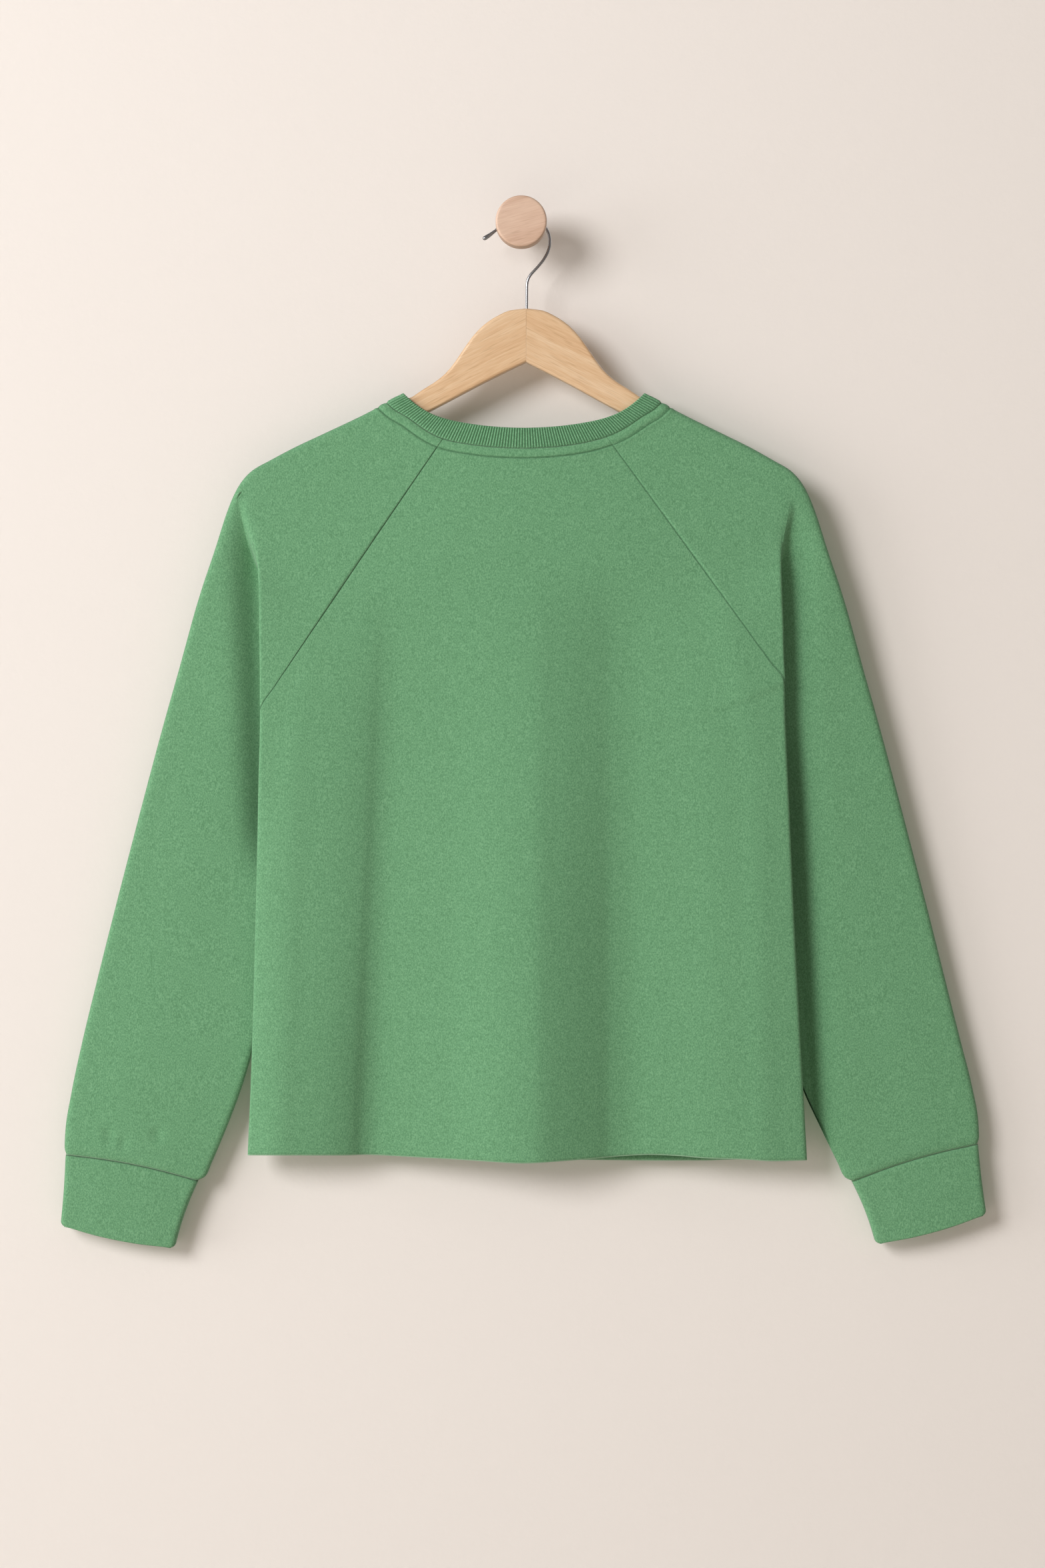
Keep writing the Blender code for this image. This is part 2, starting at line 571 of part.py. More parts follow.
def sleeve_columns(loop, side, above, past_fold=COLUMN_GAP):
    """Where a sleeve's points lie along a loop, from the back raglan seam round to the front one."""
    name = (lambda word: f"{side.name} {word}") if above else (lambda word: word)
    if above:
        first = loop.named[name("seam")]
        marks = [loop.named.get(name(word), loop.named[name("edge_back")])
                 for word in ("edge_back", "edge_front", "inner_front", "inner_back")]
        last = loop.named[name("front_seam")]
        outer = [loop.named[name("outer_back")], loop.named[name("outer_front")]]
    else:
        first, last = 0.0, loop.length
        marks = []
        outer = [loop.named["outer_back"], loop.named["outer_front"]]
    way = 1.0 if last > first else -1.0
    distance = lambda mark: way * (mark - first)
    places = [0.0]
    for mark in marks:
        places.append(max(distance(mark), places[-1] + COLUMN_GAP))
    if above:
        places[-1] += past_fold
        beside = places[-1] + EDGE_STEP
    else:
        places = places * (FLAP_COLUMNS + 1)
        beside = distance(loop.named["inner_back"]) + 1.0
    outer_back, outer_front = (distance(mark) for mark in outer)
    end = distance(last)
    near = OUTER_TURN * 0.9
    places += [beside] + spread(beside, outer_back - near, 3)
    places += [outer_back - near, outer_back + 1.5, 0.5 * (outer_back + outer_front), outer_front - 1.5]
    places += [outer_front + near]
    places += spread(outer_front + near, end - 3.0, 3)
    places += [end - 3.0, end]
    return first + way * np.array(places)


def panel_columns(loop, layer, count):
    """Where a body panel's points lie along a loop, from one side seam to the other through the middle."""
    named = loop.named
    seam = "seam" if layer == "back" or "left front_seam" not in named else "front_seam"
    left, right = named[f"left {seam}"], named[f"right {seam}"]
    if layer == "front":
        places = [left, left + 3.0] + spread(left + 3.0, right - 3.0, count) + [right - 3.0, right]
        return np.array(places)
    right -= loop.length
    edges = []
    for sign, name, end in ((-1, "right", right), (1, "left", left)):
        limit = sign * end
        front = named[f"{name} edge_front"] if f"{name} edge_front" in named else limit
        back = named[f"{name} edge_back"]
        if sign < 0:
            front, back = (sign * (mark - loop.length) if mark != limit else mark for mark in (front, back))
        front = min(front, limit - COLUMN_GAP)
        back = min(back, front - COLUMN_GAP)
        edges.append([limit, front, back, back - EDGE_STEP])
    right_edge = [-mark for mark in edges[0]]
    left_edge = edges[1][::-1]
    return np.array(right_edge + spread(right_edge[-1], left_edge[0], count) + left_edge)


def with_ghosts(places):
    """The same places with one more past each end, for slopes at the seams."""
    step = np.sign(places[-1] - places[0]) * 1.0
    return np.concatenate([[places[0] - step], places, [places[-1] + step]])


def level_down(loop, along):
    """The way down at places on a loop, square to its run as seen from the front, with its folds evened out."""
    taps = np.linspace(-LEVEL_REACH, LEVEL_REACH, 21)
    places = loop.raw(along[:, None] + taps[None, :])
    steps = np.diff(places, axis=1)
    steps *= np.sign(steps[..., 0] + 1e-9)[..., None]
    run = steps.sum(axis=1)
    down = np.stack([run[:, 2], np.zeros(len(run)), -run[:, 0]], axis=-1)
    return down / np.linalg.norm(down, axis=1, keepdims=True)


def outward(grid, sign, level, level_share):
    """Outward directions of a grid whose rows run down and whose columns run round."""
    down = np.gradient(grid, axis=0)
    down /= np.linalg.norm(down, axis=2, keepdims=True)
    share = np.asarray(level_share)[:, None, None]
    across = np.gradient(grid, axis=1)
    across /= np.maximum(np.linalg.norm(across, axis=2, keepdims=True), 1e-9)
    normals = (np.cross(across, down) * (1 - share) + np.cross(across, np.array(level)) * share) * sign
    return normals / np.maximum(np.linalg.norm(normals, axis=2, keepdims=True), 1e-9)


def yoke_level(share):
    """How far a loop above the underarm takes its outward directions from its own plane."""
    return float(ease((share - PLEAT_START) / PLEAT_SOFT))


def inset_ends(grid, gap):
    """Draws the first and last real column in by a gap, along the rows."""
    moved = grid.copy()
    for end, inner in ((1, 2), (-2, -3)):
        way = grid[:, inner] - grid[:, end]
        moved[:, end] += gap * way / np.maximum(np.linalg.norm(way, axis=1, keepdims=True), 1e-9)
    return moved


def wall(name, middle, normals, thick, closed_from=None, flap=0):
    """A closed wall about a middle surface.

    From the row closed_from on it is a tube, whose last column is its first. The flap columns end before it.
    """
    rows, columns = middle.shape[:2]
    mesh = bmesh.new()
    last_open = rows if closed_from is None else closed_from
    skins = []
    for skin in (middle + normals * thick / 2, middle - normals * thick / 2):
        verts = []
        for i in range(rows):
            start = 0 if i < last_open else flap
            end = columns if i < last_open else columns - 1
            row = [mesh.verts.new(Vector(skin[i, j]) * MM) for j in range(start, end)]
            verts.append([None] * start + row + ([] if i < last_open else [row[0]]))
        skins.append(verts)
    out, inn = skins
    for i in range(rows - 1):
        start = 0 if i + 1 < last_open else flap
        for j in range(start, columns - 1):
            fall, rise = middle[i + 1, j + 1] - middle[i, j], middle[i + 1, j] - middle[i, j + 1]
            falling = np.linalg.norm(fall) < np.linalg.norm(rise)
            for skin in (out, inn):
                a, b, c, d = skin[i][j], skin[i][j + 1], skin[i + 1][j + 1], skin[i + 1][j]
                for corners in (((a, b, c), (a, c, d)) if falling else ((a, b, d), (b, c, d))):
                    mesh.faces.new(corners)
        if i < last_open:
            mesh.faces.new((out[i][start], out[i + 1][start], inn[i + 1][start], inn[i][start]))
            mesh.faces.new((out[i + 1][-1], out[i][-1], inn[i][-1], inn[i + 1][-1]))
    rims = [(0, j) for j in range(columns - 1)]
    rims += [(rows - 1, j) for j in range(0 if closed_from is None else flap, columns - 1)]
    rims += [(last_open - 1, j) for j in range(flap)]
    for i, j in rims:
        mesh.faces.new((out[i][j], out[i][j + 1], inn[i][j + 1], inn[i][j]))
    return finish(name, mesh)


def finish(name, mesh):
    """Makes a bmesh an object with its faces pointing out, and shades it smooth but for its sharp edges."""
    bmesh.ops.triangulate(mesh, faces=mesh.faces)
    bmesh.ops.recalc_face_normals(mesh, faces=mesh.faces)
    data = bpy.data.meshes.new(name)
    mesh.to_mesh(data)
    mesh.free()
    data.shade_smooth()
    data.set_sharp_from_angle(angle=math.radians(40))
    item = bpy.data.objects.new(name, data)
    bpy.context.collection.objects.link(item)
    return item


def hang_folds(layer, grid):
    """Adds the soft folds that fall down a panel, fading out towards its side edges."""
    moved = grid.copy()
    across, drop = grid[..., 0], -grid[..., 2]
    edge = np.interp(drop, (200, 460, 810), (150, 215, 225))
    inside = ease((edge - np.abs(across)) / 40.0)
    for fold in HANG_FOLDS[layer]:
        down = ease((drop - fold["start"]) / 330.0)
        line = fold["top"] + (fold["hem"] - fold["top"]) * np.clip((drop - 400) / 400, 0, 1)
        rise = fold["height"] * np.exp(-(((across - line) / fold["width"]) ** 2)) * down * inside
        moved[..., 1] -= rise if layer == "back" else -rise
    return moved


def fit_hem(layer, grid):
    """Brings a panel's last rows to its hem line."""
    moved = grid.copy()
    change = -read(HEMS[layer]["across"], HEMS[layer]["drop"], grid[-1, :, 0]) - grid[-1, :, 2]
    for i in range(len(grid)):
        reach = ease((-grid[i, :, 2] - 700) / 100)
        moved[i, :, 2] += change * reach
    return moved


def body_panel(layer, count):
    """The back or the front: one wall from the neck seam to the hem."""
    rows, levels, shares = [], [], []
    loops = [(yoke_loop(share), yoke_level(share)) for share in YOKE_ROWS]
    loops += [(body_loop(share), float(1 - ease(share / 0.4))) for share in BODY_ROWS]
    for loop, level_share in loops:
        places = with_ghosts(panel_columns(loop, layer, count))
        rows.append(loop.at(places))
        levels.append(level_down(loop, places))
        shares.append(level_share)
    grid = fit_hem(layer, hang_folds(layer, np.array(rows)))
    normals = outward(grid, 1, levels, shares)
    grid = inset_ends(grid, SEAM_GAP / 2)
    return wall(layer, grid[:, 1:-1], normals[:, 1:-1], CLOTH)


def sleeve(side):
    """One raglan sleeve, open along its raglan seams and a tube from the underarm down."""
    rows, levels, shares = [], [], []
    loops = [(yoke_loop(share), yoke_level(share), True, NOTCH if share > NOTCH_SHARE else COLUMN_GAP)
             for share in YOKE_ROWS if share < FOLD_SHARE]
    first_closed = len(loops)
    loops += [(sleeve_loop(side, share), float(1 - ease(share / 0.3)), False, 0.0) for share in SLEEVE_ROWS]
    loops.append((cuff_loop(side, 0.0), 0.0, False, 0.0))
    for loop, level_share, above, past_fold in loops:
        places = with_ghosts(sleeve_columns(loop, side, above, past_fold))
        rows.append(loop.at(places))
        levels.append(level_down(loop, places))
        shares.append(level_share)
    grid = np.array(rows)
    normals = outward(grid, -side.way, levels, shares)
    inset = inset_ends(grid, SEAM_GAP / 2)
    grid[:first_closed] = inset[:first_closed]
    start = 1 + FLAP_COLUMNS
    seam_normals = normals[first_closed:, start] + normals[first_closed:, -2]
    seam_normals /= np.linalg.norm(seam_normals, axis=1, keepdims=True)
    normals[first_closed:, start] = normals[first_closed:, -2] = seam_normals
    normals[first_closed - 1, start] = normals[first_closed - 1, start + 1]
    return wall(f"sleeve_{side.name}", grid[:, 1:-1], normals[:, 1:-1], CLOTH, first_closed, FLAP_COLUMNS)


def cuff(side):
    """One cuff: a tube of doubled cloth with a soft turned edge."""
    rows = []
    for share in CUFF_ROWS:
        loop = cuff_loop(side, share)
        places = np.linspace(0.0, loop.length, CUFF_COLUMNS + 1)
        rows.append(loop.at(np.concatenate([[-1.0], places, [loop.length + 1.0]])))
    grid = np.array(rows)
    down = grid[-1].mean(axis=0) - grid[0].mean(axis=0)
    down /= np.linalg.norm(down)
    grid[0] += down * CUFF_SEAM_GAP
    normals = outward(grid, -side.way, np.zeros_like(grid), np.zeros(len(grid)))
    normals[:, 1] = normals[:, -2] = normals[:, 1] + normals[:, -2]
    normals /= np.linalg.norm(normals, axis=2, keepdims=True)
    return wall(f"cuff_{side.name}", grid[:, 1:-1], normals[:, 1:-1], CUFF_CLOTH, closed_from=0)


def chords(loop, where):
    """Places on the straight runs between the points of the panels' and sleeves' first row."""
    marks = [panel_columns(loop, layer, PANEL_COLUMNS) for layer in ("back", "front")]
    marks += [sleeve_columns(loop, side, True) for side in SIDES]
    marks = np.unique(np.round(np.mod(np.concatenate(marks), loop.length), 4))
    marks = np.concatenate([[marks[-1] - loop.length], marks, [marks[0] + loop.length]])
    points = loop.at(marks)
    return np.stack([np.interp(where, marks, points[:, axis]) for axis in range(3)], axis=-1)


def neck_band():
    """The ribbed neckband: a ring along the neck seam, with its ribs raised on the outside."""
    seam = yoke_loop(0.0)
    edge = band_edge_loop()
    marks = ["back", "left seam", "left outer_back", "left outer_front", "left front_seam", "front",
             "right front_seam", "right outer_front", "right outer_back", "right seam", "back"]
    stops = []
    for loop in (seam, edge):
        places = [loop.named[mark] for mark in marks]
        places[-1] = loop.length
        stops.append(places)
    lengths = np.diff(stops[0])
    shares = np.linspace(0.0, 1.0, 2 * RIBS + 1)
    where = shares * stops[0][-1]
    section = np.clip(np.searchsorted(stops[0], where, side="right") - 1, 0, len(lengths) - 1)
    part = (where - np.array(stops[0])[section]) / lengths[section]
    edge_where = np.array(stops[1])[section] + part * np.diff(stops[1])[section]
    low, high = chords(seam, where), edge.at(edge_where)
    rise = high - low
    rise /= np.linalg.norm(rise, axis=1, keepdims=True)
    low = low + rise * BAND_SEAM_GAP
    smooth = seam.at(where)
    across = np.gradient(smooth, axis=0)
    across[0] = across[-1] = smooth[1] - smooth[-2]
    normals = np.cross(across, -rise)
    normals /= np.linalg.norm(normals, axis=1, keepdims=True)
    ribs = (np.arange(2 * RIBS + 1) % 2)[:, None] * RIB_HEIGHT
    mesh = bmesh.new()
    profile = (
        (0.0, 0.5, False), (0.5, 0.62, True), (0.96, 0.5, True),
        (1.0, 0.0, False), (0.96, -0.5, False), (0.0, -0.5, False),
    )
    rings = []
    for up, out, ribbed in profile:
        points = low + (high - low) * up + normals * (out * RIB_CLOTH + (ribs if ribbed else 0.0))
        rings.append([mesh.verts.new(Vector(point) * MM) for point in points[:-1]])
    for i, ring in enumerate(rings):
        after = rings[(i + 1) % len(rings)]
        for j in range(len(ring)):
            k = (j + 1) % len(ring)
            mesh.faces.new((ring[j], ring[k], after[k], after[j]))
    return finish("neck_rib", mesh)


def band_edge_loop():
    """The neckband's free edge, with the same corners as the neck seam."""
    def side_corners(side):
        corners = []
        back_rise = 1 - BAND_SEAM_SHARE**NECK_CURVE
        front_rise = 1 - (FRONT_SEAM_OUT / NECK_OUT) ** NECK_CURVE
        for sign, deep, rise, share_out in (
            (1, BAND_BACK_DROP, back_rise, BAND_SEAM_SHARE),
            (-1, BAND_FRONT_DROP, front_rise, FRONT_SEAM_OUT / NECK_OUT),
        ):
            tall = deep - BAND_SHOULDER_DROP
            seam = (BAND_OUT * share_out, BAND_SHOULDER_DROP + tall * rise ** (1 / NECK_CURVE))
            name = "seam" if sign > 0 else "front_seam"
            middle_depth, seam_depth = (44.0, 41.5) if sign > 0 else (14.5, 18.5)
            part = []
            for step in (0.25, 0.5, 0.75):
                drop = deep + (seam[1] - deep) * step**2.1
                depth = middle_depth + (seam_depth - middle_depth) * step**2
                part.append((None, world(side, seam[0] * step, drop, depth, NECK_MIDDLE), SOFT_TURN))
            part.append((name, world(side, *seam, seam_depth, NECK_MIDDLE), SOFT_TURN))
            peak = (BAND_OUT, BAND_SHOULDER_DROP)
            for step in (0.35, 0.7):
                out, drop = mix(seam, peak, step)
                depth = seam_depth + (30.0 + sign * 8.6 - seam_depth) * step
                bow = (5.0 if sign > 0 else 10.0) * 4 * step * (1 - step)
                part.append((None, world(side, out, drop + bow, depth, NECK_MIDDLE), SOFT_TURN))
            word = "outer_back" if sign > 0 else "outer_front"
            part.append((word, world(side, *peak, 30.0 + sign * 8.6, NECK_MIDDLE), OUTER_TURN))
            corners += part if sign > 0 else part[::-1]
        return corners

    back = (NECK_MIDDLE, -44.0, -BAND_BACK_DROP)
    front = (NECK_MIDDLE, -14.5, -BAND_FRONT_DROP)
    return closed_loop(side_corners, back, front)


def shoulder_line(side):
    """The hanger's upper edge under the cloth: the loops' outer points, drawn in so that the wood lies inside."""
    points = []
    for share in np.array(YOKE_ROWS)[np.array(YOKE_ROWS) < SHOULDER_SHARE]:
        loop = yoke_loop(share)
        middle = 0.5 * (loop.named[f"{side.name} outer_back"] + loop.named[f"{side.name} outer_front"])
        place = loop.at([middle])[0]
        points.append((place[0], -place[2]))
    points = np.array(points)
    along = np.gradient(points, axis=0)
    along /= np.linalg.norm(along, axis=1, keepdims=True)
    inward = np.stack([-along[:, 1], along[:, 0]], axis=-1) * side.way
    depths = np.full((len(points), 1), WOOD_UNDER_CLOTH)
    depths[0] = WOOD_UNDER_BAND
    return [tuple(point) for point in (points + inward * depths)[:-1]]


def hanger_half(side):
    """One half of the hanger: a flat outline with rounded edges, mitred in the middle and bored for the hook."""
    outline = []
    for out in np.linspace(MITRE_GAP / 2, HANGER_TOP["out"][-1], 15):
        outline.append((side.way * out + HANGER_MIDDLE, float(read(HANGER_TOP["out"], HANGER_TOP["drop"], out))))
    outline += shoulder_line(side)
    ends = ((abs(outline[-1][0]), outline[-1][1]), (HANGER_UNDER["out"][-1], HANGER_UNDER["drop"][-1]))
    start, end = (math.atan2(drop - HANGER_END_DROP, out - HANGER_END_OUT) for out, drop in ends)
    for step in np.linspace(0.15, 0.85, 4):
        angle = start + (end - start) * step
        outline.append((side.way * (HANGER_END_OUT + HANGER_END_RADIUS * math.cos(angle)),
                        HANGER_END_DROP + HANGER_END_RADIUS * math.sin(angle)))
    for out in np.linspace(HANGER_UNDER["out"][-1], MITRE_GAP / 2, 8):
        share = out / HANGER_UNDER["out"][-1]
        drop = float(read(HANGER_UNDER["out"], HANGER_UNDER["drop"], out))
        outline.append((side.way * out + HANGER_MIDDLE * (1 - share), drop))
    mesh = bmesh.new()
    face_y = -(HANGER_DEPTH - HANGER_THICK / 2)
    points = []
    for across, drop in outline:
        points.append(mesh.verts.new(Vector((across, face_y, -drop)) * MM))
    face = mesh.faces.new(points)
    extruded = bmesh.ops.extrude_face_region(mesh, geom=[face])
    moved = [item for item in extruded["geom"] if isinstance(item, bmesh.types.BMVert)]
    bmesh.ops.translate(mesh, verts=moved, vec=(0, -HANGER_THICK * MM, 0))
    bmesh.ops.recalc_face_normals(mesh, faces=mesh.faces)
    mitre = (HANGER_MIDDLE + side.way * MITRE_GAP / 2) * MM
    rims = []
    for edge in mesh.edges:
        ends = [vert.co for vert in edge.verts]
        flat = abs(ends[0].y - ends[1].y) < 1e-7
        on_mitre = all(abs(end.x - mitre) < 1e-6 for end in ends)
        if flat and not on_mitre:
            rims.append(edge)
    bmesh.ops.bevel(mesh, geom=rims, offset=HANGER_EDGE * MM, segments=2, profile=0.5, affect="EDGES")
    item = finish(f"hanger_{side.name}", mesh)
    hole = bmesh.new()
    radius = WIRE_HOLE_RADIUS * MM
    bmesh.ops.create_cone(
        hole, cap_ends=True, segments=12, radius1=radius, radius2=radius, depth=2 * WIRE_IN_WOOD * MM,
    )
    cutter = finish(f"hook_hole_{side.name}", hole)
    cutter.location = Vector((HANGER_MIDDLE, -HANGER_DEPTH, -HANGER_TOP["drop"][0])) * MM
    cutter.hide_render = True
    cutter.display_type = "WIRE"
    cut = item.modifiers.new("hook hole", "BOOLEAN")
    cut.operation = "DIFFERENCE"
    cut.solver = "EXACT"
    cut.object = cutter
    return item


def hook_route():
    """The hook's centre line, from its end in the wood to its flared tip."""
    middle = Vector((0.5, 0.0, STEM_RADIUS + HOOK_SEAT_GAP + WIRE_RADIUS - HOOK_RADIUS))
    bottom = -HANGER_TOP["drop"][0] - WIRE_IN_WOOD + 1.0
    route = [(HANGER_MIDDLE, bottom), (HANGER_MIDDLE, -HANGER_TOP["drop"][0] + 2.0)]
    route += [point for point in reversed(HOOK_STEM)]
    for angle in np.radians(np.linspace(HOOK_ARC_END, HOOK_ARC_START, HOOK_ARC_STEPS)):
        route.append((middle.x + HOOK_RADIUS * math.cos(angle), middle.z + HOOK_RADIUS * math.sin(angle)))
    route += list(HOOK_TIP)
    return [Vector((x, -HANGER_DEPTH, z)) for x, z in route]


def hook():
    """The wire hook: a round wire swept along its route, with a small rounded tip."""
    route = hook_route()
    mesh = bmesh.new()
    rings = []
    for i, point in enumerate(route):
        before, after = route[max(i - 1, 0)], route[min(i + 1, len(route) - 1)]
        along = (after - before).normalized()
        side_way = Vector((0, 1, 0))
        up = along.cross(side_way).normalized()
        ring = []
        for j in range(WIRE_SIDES):
            angle = 2 * math.pi * j / WIRE_SIDES
            offset = side_way * math.cos(angle) + up * math.sin(angle)
            ring.append(mesh.verts.new((point + offset * WIRE_RADIUS) * MM))
        rings.append(ring)
    for ring, after in zip(rings, rings[1:]):
        for j in range(WIRE_SIDES):
            k = (j + 1) % WIRE_SIDES
            mesh.faces.new((ring[j], ring[k], after[k], after[j]))
    mesh.faces.new(rings[0][::-1])
    mesh.faces.new(rings[-1])
    return finish("hook", mesh)


def peg():
    """The wall peg: a turned stem and knob, flat at the back."""
    neck = KNOB_DEPTH - KNOB_THICK
    profile = [
        (0.0, 0.0),
        (STEM_RADIUS, 0.0),
        (STEM_RADIUS, neck - STEM_FILLET),
        (STEM_RADIUS + STEM_FILLET, neck),
        (KNOB_RADIUS - KNOB_EDGE, neck),
        (KNOB_RADIUS, neck + KNOB_EDGE),
        (KNOB_RADIUS, KNOB_DEPTH - KNOB_EDGE),
        (KNOB_RADIUS - 0.3 * KNOB_EDGE, KNOB_DEPTH - 0.3 * KNOB_EDGE),
        (KNOB_RADIUS - KNOB_EDGE, KNOB_DEPTH),
        (0.0, KNOB_DEPTH),
    ]
    mesh = bmesh.new()
    verts = [mesh.verts.new(Vector((radius, -depth, 0.0)) * MM) for radius, depth in profile]
    edges = [mesh.edges.new(pair) for pair in zip(verts, verts[1:])]
    bmesh.ops.spin(
        mesh, geom=verts + edges, cent=(0, 0, 0), axis=(0, 1, 0), dvec=(0, 0, 0), angle=2 * math.pi,
        steps=PEG_SIDES, use_duplicate=False,
    )
    bmesh.ops.remove_doubles(mesh, verts=mesh.verts, dist=1e-6)
    return finish("peg", mesh)


def paint(item, name, roughness, metallic=0.0):
    """Gives an object its own Principled material."""
    material = bpy.data.materials.new(f"{item.name}_{name}")
    material.use_nodes = True
    shader = material.node_tree.nodes["Principled BSDF"]
    shader.inputs["Base Color"].default_value = COLOURS[name]
    shader.inputs["Roughness"].default_value = roughness
    shader.inputs["Metallic"].default_value = metallic
    item.data.materials.append(material)


def main():
    """Builds the garment and what it hangs from."""
    for item in list(bpy.data.objects):
        bpy.data.objects.remove(item, do_unlink=True)
    paint(body_panel("back", PANEL_COLUMNS), "knit", 0.9)
    paint(body_panel("front", PANEL_COLUMNS), "knit", 0.9)
    for side in SIDES:
        paint(sleeve(side), "knit", 0.9)
        paint(cuff(side), "rib", 0.9)
        paint(hanger_half(side), "wood", 0.45)
    paint(neck_band(), "rib", 0.9)
    paint(hook(), "steel", 0.25, 1.0)
    paint(peg(), "peg_wood", 0.55)


main()
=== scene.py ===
"""Raglan sweatshirt on a flat wooden hanger, whose wire hook hangs from a round wooden wall peg.

The garment's own back faces -Y, the wall is at y = 0 and +Z is up. Cloth is worked out in millimetres as
closed loops that run once round the garment: "out" is the distance from the middle, "drop" the distance
below the peg's axis and "depth" the distance in front of the wall. Each panel is cut from the same loops,
so that seams meet.
"""

import logging
import math
from dataclasses import dataclass
from enum import Enum
from functools import partial
from typing import Callable, Optional

import bpy
import numpy as np
from bpy.types import Material, Node, NodeSocket, NodeTree, Object
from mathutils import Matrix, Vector
from mathutils.kdtree import KDTree

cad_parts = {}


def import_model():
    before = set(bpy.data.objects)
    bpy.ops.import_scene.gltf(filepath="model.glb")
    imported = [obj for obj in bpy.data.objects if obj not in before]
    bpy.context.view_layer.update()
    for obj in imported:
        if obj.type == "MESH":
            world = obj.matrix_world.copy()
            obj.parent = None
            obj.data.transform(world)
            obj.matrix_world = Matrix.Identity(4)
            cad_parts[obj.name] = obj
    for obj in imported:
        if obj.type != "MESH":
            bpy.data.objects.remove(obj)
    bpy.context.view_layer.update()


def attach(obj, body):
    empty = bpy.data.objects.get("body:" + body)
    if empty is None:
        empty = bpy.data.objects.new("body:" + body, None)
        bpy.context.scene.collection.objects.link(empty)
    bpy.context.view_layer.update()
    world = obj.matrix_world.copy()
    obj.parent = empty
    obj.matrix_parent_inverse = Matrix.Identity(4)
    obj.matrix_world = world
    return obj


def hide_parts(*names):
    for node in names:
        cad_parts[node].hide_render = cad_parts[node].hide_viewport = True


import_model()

LOG = logging.getLogger("sweatshirt")

MM = 0.001
ROOT = "root"

# Cloth
CLOTH = 1.2
RIB_CLOTH = 2.2
CUFF_CLOTH = 2.6
SEAM_GAP = 0.14
COLUMN_GAP = 0.7
EDGE_STEP = 3.2
EDGE_TURN = 2.3
OUTER_TURN = 6.0
SOFT_TURN = 20.0
HEM_TURN = 4.5
TURN_GROWTH = 0.4
LEVEL_REACH = 24.0
FINE_STEP = 0.7
FINE_REACH = 13.0
CLOTH_STEP = 3.2
STRIP_SWELL = 0.9
CREASE_ROWS = 16
HEM_FIT_DROP = 700
HEM_FIT_REACH = 100

# Neck
NECK_MIDDLE = 2.4
NECK_CURVE = 1.9
NECK_OUT = 118.7
NECK_SHOULDER_DROP = 154.0
NECK_FRONT_DROP = 245.0
NECK_ROUND = 640
BAND_OUT = 103.2
BAND_SHOULDER_DROP = 146.6
BAND_BACK_DROP = 176.0
BAND_FRONT_DROP = 227.0
BAND_SEAM_GAP = 0.15
BAND_SEAM_SHARE = 0.59
FRONT_SEAM_OUT = 80.0
TOPSTITCH_DROP = 8.4

# Underarm and pleat
PLEAT_START = 0.42
TURN_SHARE = 0.79
PLEAT_SOFT = 0.12
TURN_STEP = 0.03
NOTCH = 1.6
NOTCH_SHARE = 0.95
FOLD_SHARE = 0.975
UNDERARM = (170.4, 453.3)
UNDERARM_EDGE_DROP = 460.0

# Cuffs
CUFF_DEPTH = 15.0
CUFF_HALF = 7.4
CUFF_CORNER = 1.4
CUFF_SEAM_GAP = 0.5
CUFF_BOW = (-3.2, 3.0)
CUFF_WAIST = (2.2, 1.1)
CUFF_ROUND = (2.2, 0.95)

# Shares at which the cloth has its sections
YOKE_ROWS = (
    0.0, 0.07, 0.15, 0.23, 0.30, 0.35, 0.39, 0.43, 0.48, 0.53, 0.56, 0.60, 0.66, 0.73,
    TURN_SHARE, TURN_SHARE + 0.6 * TURN_STEP, 0.86, 0.90, 0.935, 0.96, FOLD_SHARE,
)
BODY_ROWS = (0.0, 0.05, 0.12, 0.22, 0.35, 0.50, 0.65, 0.80, 0.92, 1.0)
SLEEVE_ROWS = (0.0, 0.045, 0.10, 0.19, 0.32, 0.48, 0.64, 0.78, 0.89, 0.965, 1.0)
PANEL_COLUMNS = 9
FLAP_COLUMNS = 4

Table = dict[str, tuple[float, ...]]
Pair = tuple[float, float]
Place = tuple[float, float, float]
Array = np.ndarray

# The sleeve's outer outline, from the neck seam over the shoulder to the cuff.
OUTER_OUTLINE: Table = {
    "drop": (
        154, 165, 179.4, 193.8, 206.5, 213.5, 222.7, 237.1, 251.5,
        280, 323, 381, 439, 555, 670, 757, 786, 801,
    ),
    "out": (
        118.7, 140, 169.9, 199.6, 222.5, 234, 242, 249.8, 255.3,
        264.5, 279, 295.4, 311.9, 342.8, 372, 392, 396.2, 396.6,
    ),
}

